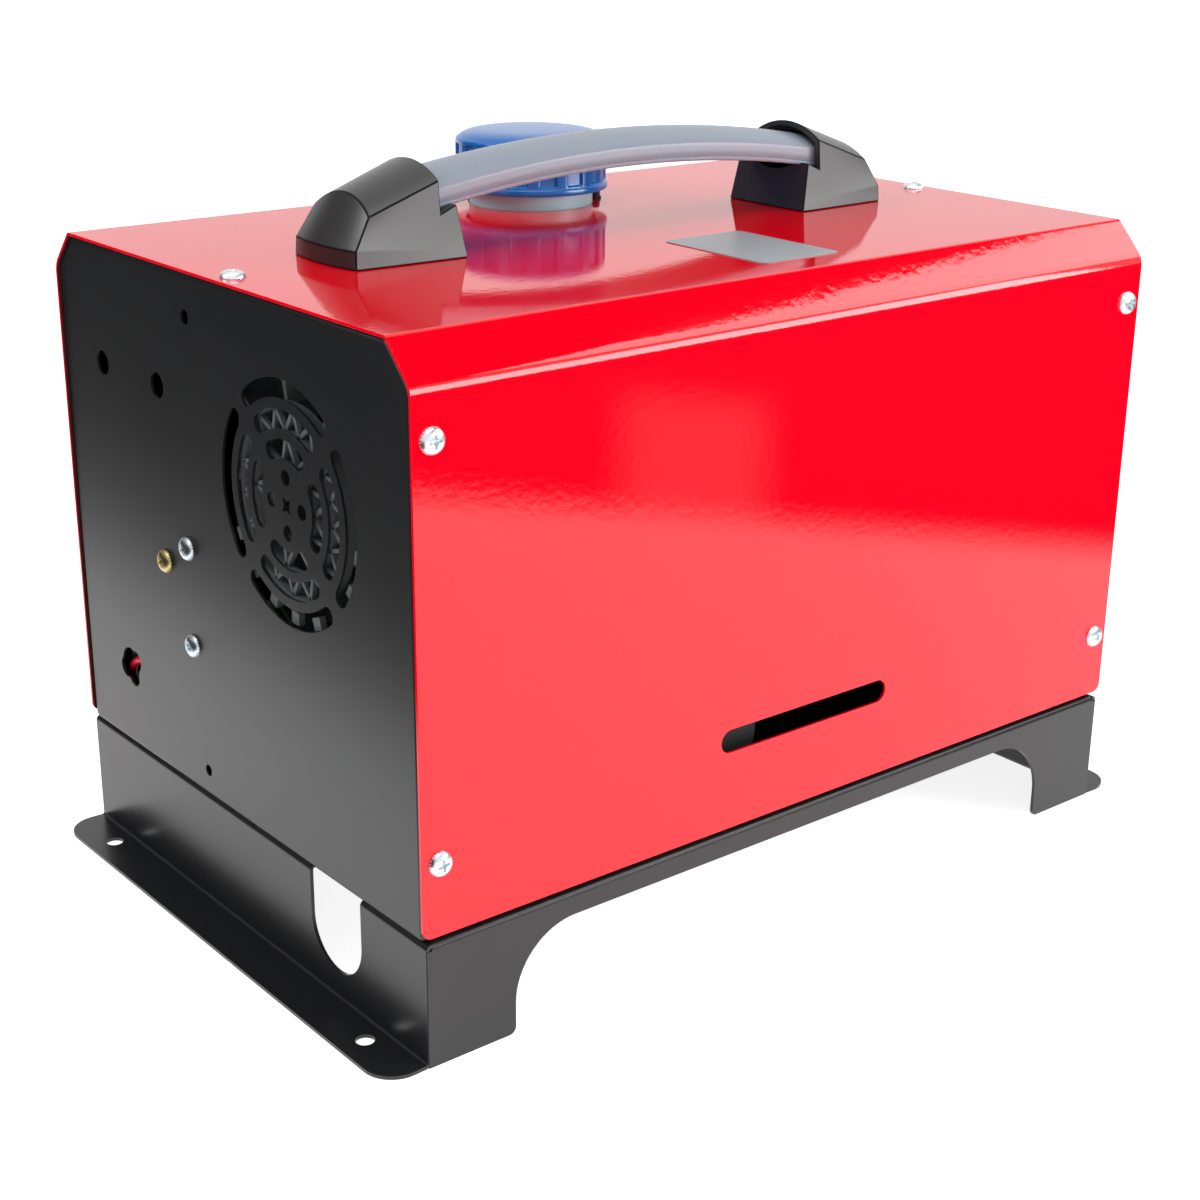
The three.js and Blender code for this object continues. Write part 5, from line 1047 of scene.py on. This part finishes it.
for look, names in (
    (shaded_shell_black, ("heater_shell_lower", "heater_shell_upper", "outlet_hood", "air_fan")),
    (grey_powder, ("heater_stand",)),
    (gasket, ("stand_gasket",)),
    (cast, ("heat_exchanger", "combustion_fan", "combustion_air_pipe")),
    (steel, ("burner_tube", "blower_motor", "blower_shaft", "exhaust_pipe")),
    (steel, ("pump_body", "pump_plunger")),
    (brass, ("glow_plug",)),
    (board_green, ("control_board",)),
    (rubber, ("pump_clamp",)),
    (tank_counter_tint, ("fuel_filter",)),
    (zinc, ("handle_bolt_left", "handle_bolt_right")),
):
    for name in names:
        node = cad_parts[name].data
        node.materials.clear()
        node.materials.append(look)

# ------------------------------------------------------------------ hot-air outlet
# A round black collar with a flange on the far end plate; the nozzle that turns in it has
# five slanted blades joined by a rib down the middle.
collar = [
    (39.8, 176.3), (39.8, 189.2), (45.2, 189.35), (46.0, 189.9), (46.0, 191.1), (45.2, 191.75),
    (40.8, 191.75), (40.1, 192.4), (39.8, 193.2), (39.8, 203.4), (39.2, 204.2), (38.0, 204.2),
    (37.4, 203.6), (37.4, 176.3), (39.8, 176.3),
]
collar = turned(collar, 128, shaft)
piece("outlet_collar", [collar], black_plastic, "case", "outlet_ring", smooth=38)
nozzle_r, blade_r, blade_rise = 35.1, 35.4, 4.6
ring = [
    (37.1, 181.2), (37.1, 204.9), (36.7, 205.6), (35.6, 205.6), (nozzle_r, 205.0),
    (nozzle_r, 181.2), (37.1, 181.2),
]
shapes = [turned(ring, 128, shaft)]
slant = math.degrees(math.atan2(-10, 20.5))
for number in range(1, 6):
    z = vent_z - nozzle_r + 2 * nozzle_r / 6 * number
    front = arc(203.8, z - blade_rise, 0.9, slant - 90, slant + 90, 8)
    back = arc(185.1, z + blade_rise, 0.9, slant + 90, slant + 270, 8)
    x, z = np.concatenate([front, back]).T
    half = np.sqrt(np.maximum(blade_r**2 - (z - vent_z) ** 2, 1))
    spans = np.linspace(-1, 1, 13)
    shapes.append(band([np.column_stack([x, vent_y + span * half, z]) for span in spans]))
rib = round_rect(189.2, vent_y, 2, 1.2, 0.6, 4)
shapes.append(band([level(z)(rib) for z in (vent_z - blade_r, vent_z + blade_r)]))
piece(
    "outlet_nozzle", shapes, black_plastic, "louvre", "outlet_louvre", smooth=45
)

# ------------------------------------------------------------------ controller
# A small black keypad box screwed to the far end plate from inside: a smoked window over
# the display and four round rubber keys, all left unmarked.
box_back, box_front, box_edge, display_z, keys_z = 189.35, 202.35, 1.8, 206, 179
window_depth, well_depth, well_r = 1.9, 6.0, 4.9


def box_loop(shrink, x):
    """The box's outline at x, moved in by shrink."""
    return facing_x(x)(round_rect(box_y, box_z, 38 - shrink, 29 - shrink, 6.5 - shrink))


rows = [box_loop(0.3, box_back), box_loop(0, 189.65)]
for angle in np.radians(np.linspace(0, 90, 7)):
    depth = box_edge * (1 - math.cos(angle))
    rows.append(box_loop(depth, box_front - box_edge + box_edge * math.sin(angle)))
window = round_rect(box_y, display_z, 27.3, 13.8, 2.3, 5)
keys = {"button_down": 44.0, "button_up": 60.0, "button_mode": 76.0, "button_power": 92.0}
wells = [arc(y, keys_z, well_r, 0, 352.5, 47) for y in keys.values()]
openings = [loop[::-1] for loop in (window, *wells)]
shapes = [
    band(rows), plate(facing_x(box_back), rows[0][:, 1:]),
    plate(facing_x(box_front), rows[-1][:, 1:], *openings),
]
for loop, depth in ((window, window_depth), *[(well, well_depth) for well in wells]):
    lip, bottom = facing_x(box_front), facing_x(box_front - depth)
    shapes += [band([lip(loop), bottom(loop)]), plate(bottom, loop)]
made = piece(
    "controller_box", shapes, black_plastic, "case", "controller_housing",
    smooth=25,
)
soften(made, 0.3, 50)
smoked = finish("smoked_acrylic", (0.006, 0.008, 0.01), 0.06, drift=0.02, Coat_Weight=0.5)
pane = round_rect(box_y, display_z, 27, 13.5, 2.0, 5)
bevelled = round_rect(box_y, display_z, 26.6, 13.1, 1.6, 5)
behind, before, face = facing_x(200.75), facing_x(202.2), facing_x(202.55)
shapes = [
    band([behind(pane), before(pane), face(bevelled)]), plate(behind, pane), plate(face, bevelled)
]
piece("controller_window", shapes, smoked, "case", "controller_lens", smooth=30)
key_rubber = finish("key_rubber", (0.035, 0.035, 0.037), 0.55, grain=0.006, size=0.4)
profile = [
    (0, 197.45), (4.6, 197.45), (4.6, 203.4), (4.45, 203.9), (4.0, 204.2), (3.2, 204.32),
    (1.5, 204.1), (0, 204.0),
]
for name, y in keys.items():
    key, body = turned(profile, 48, (0, y, keys_z)), name.replace("button", "key")
    piece(name + "_key", [key], key_rubber, body, name, smooth=40)
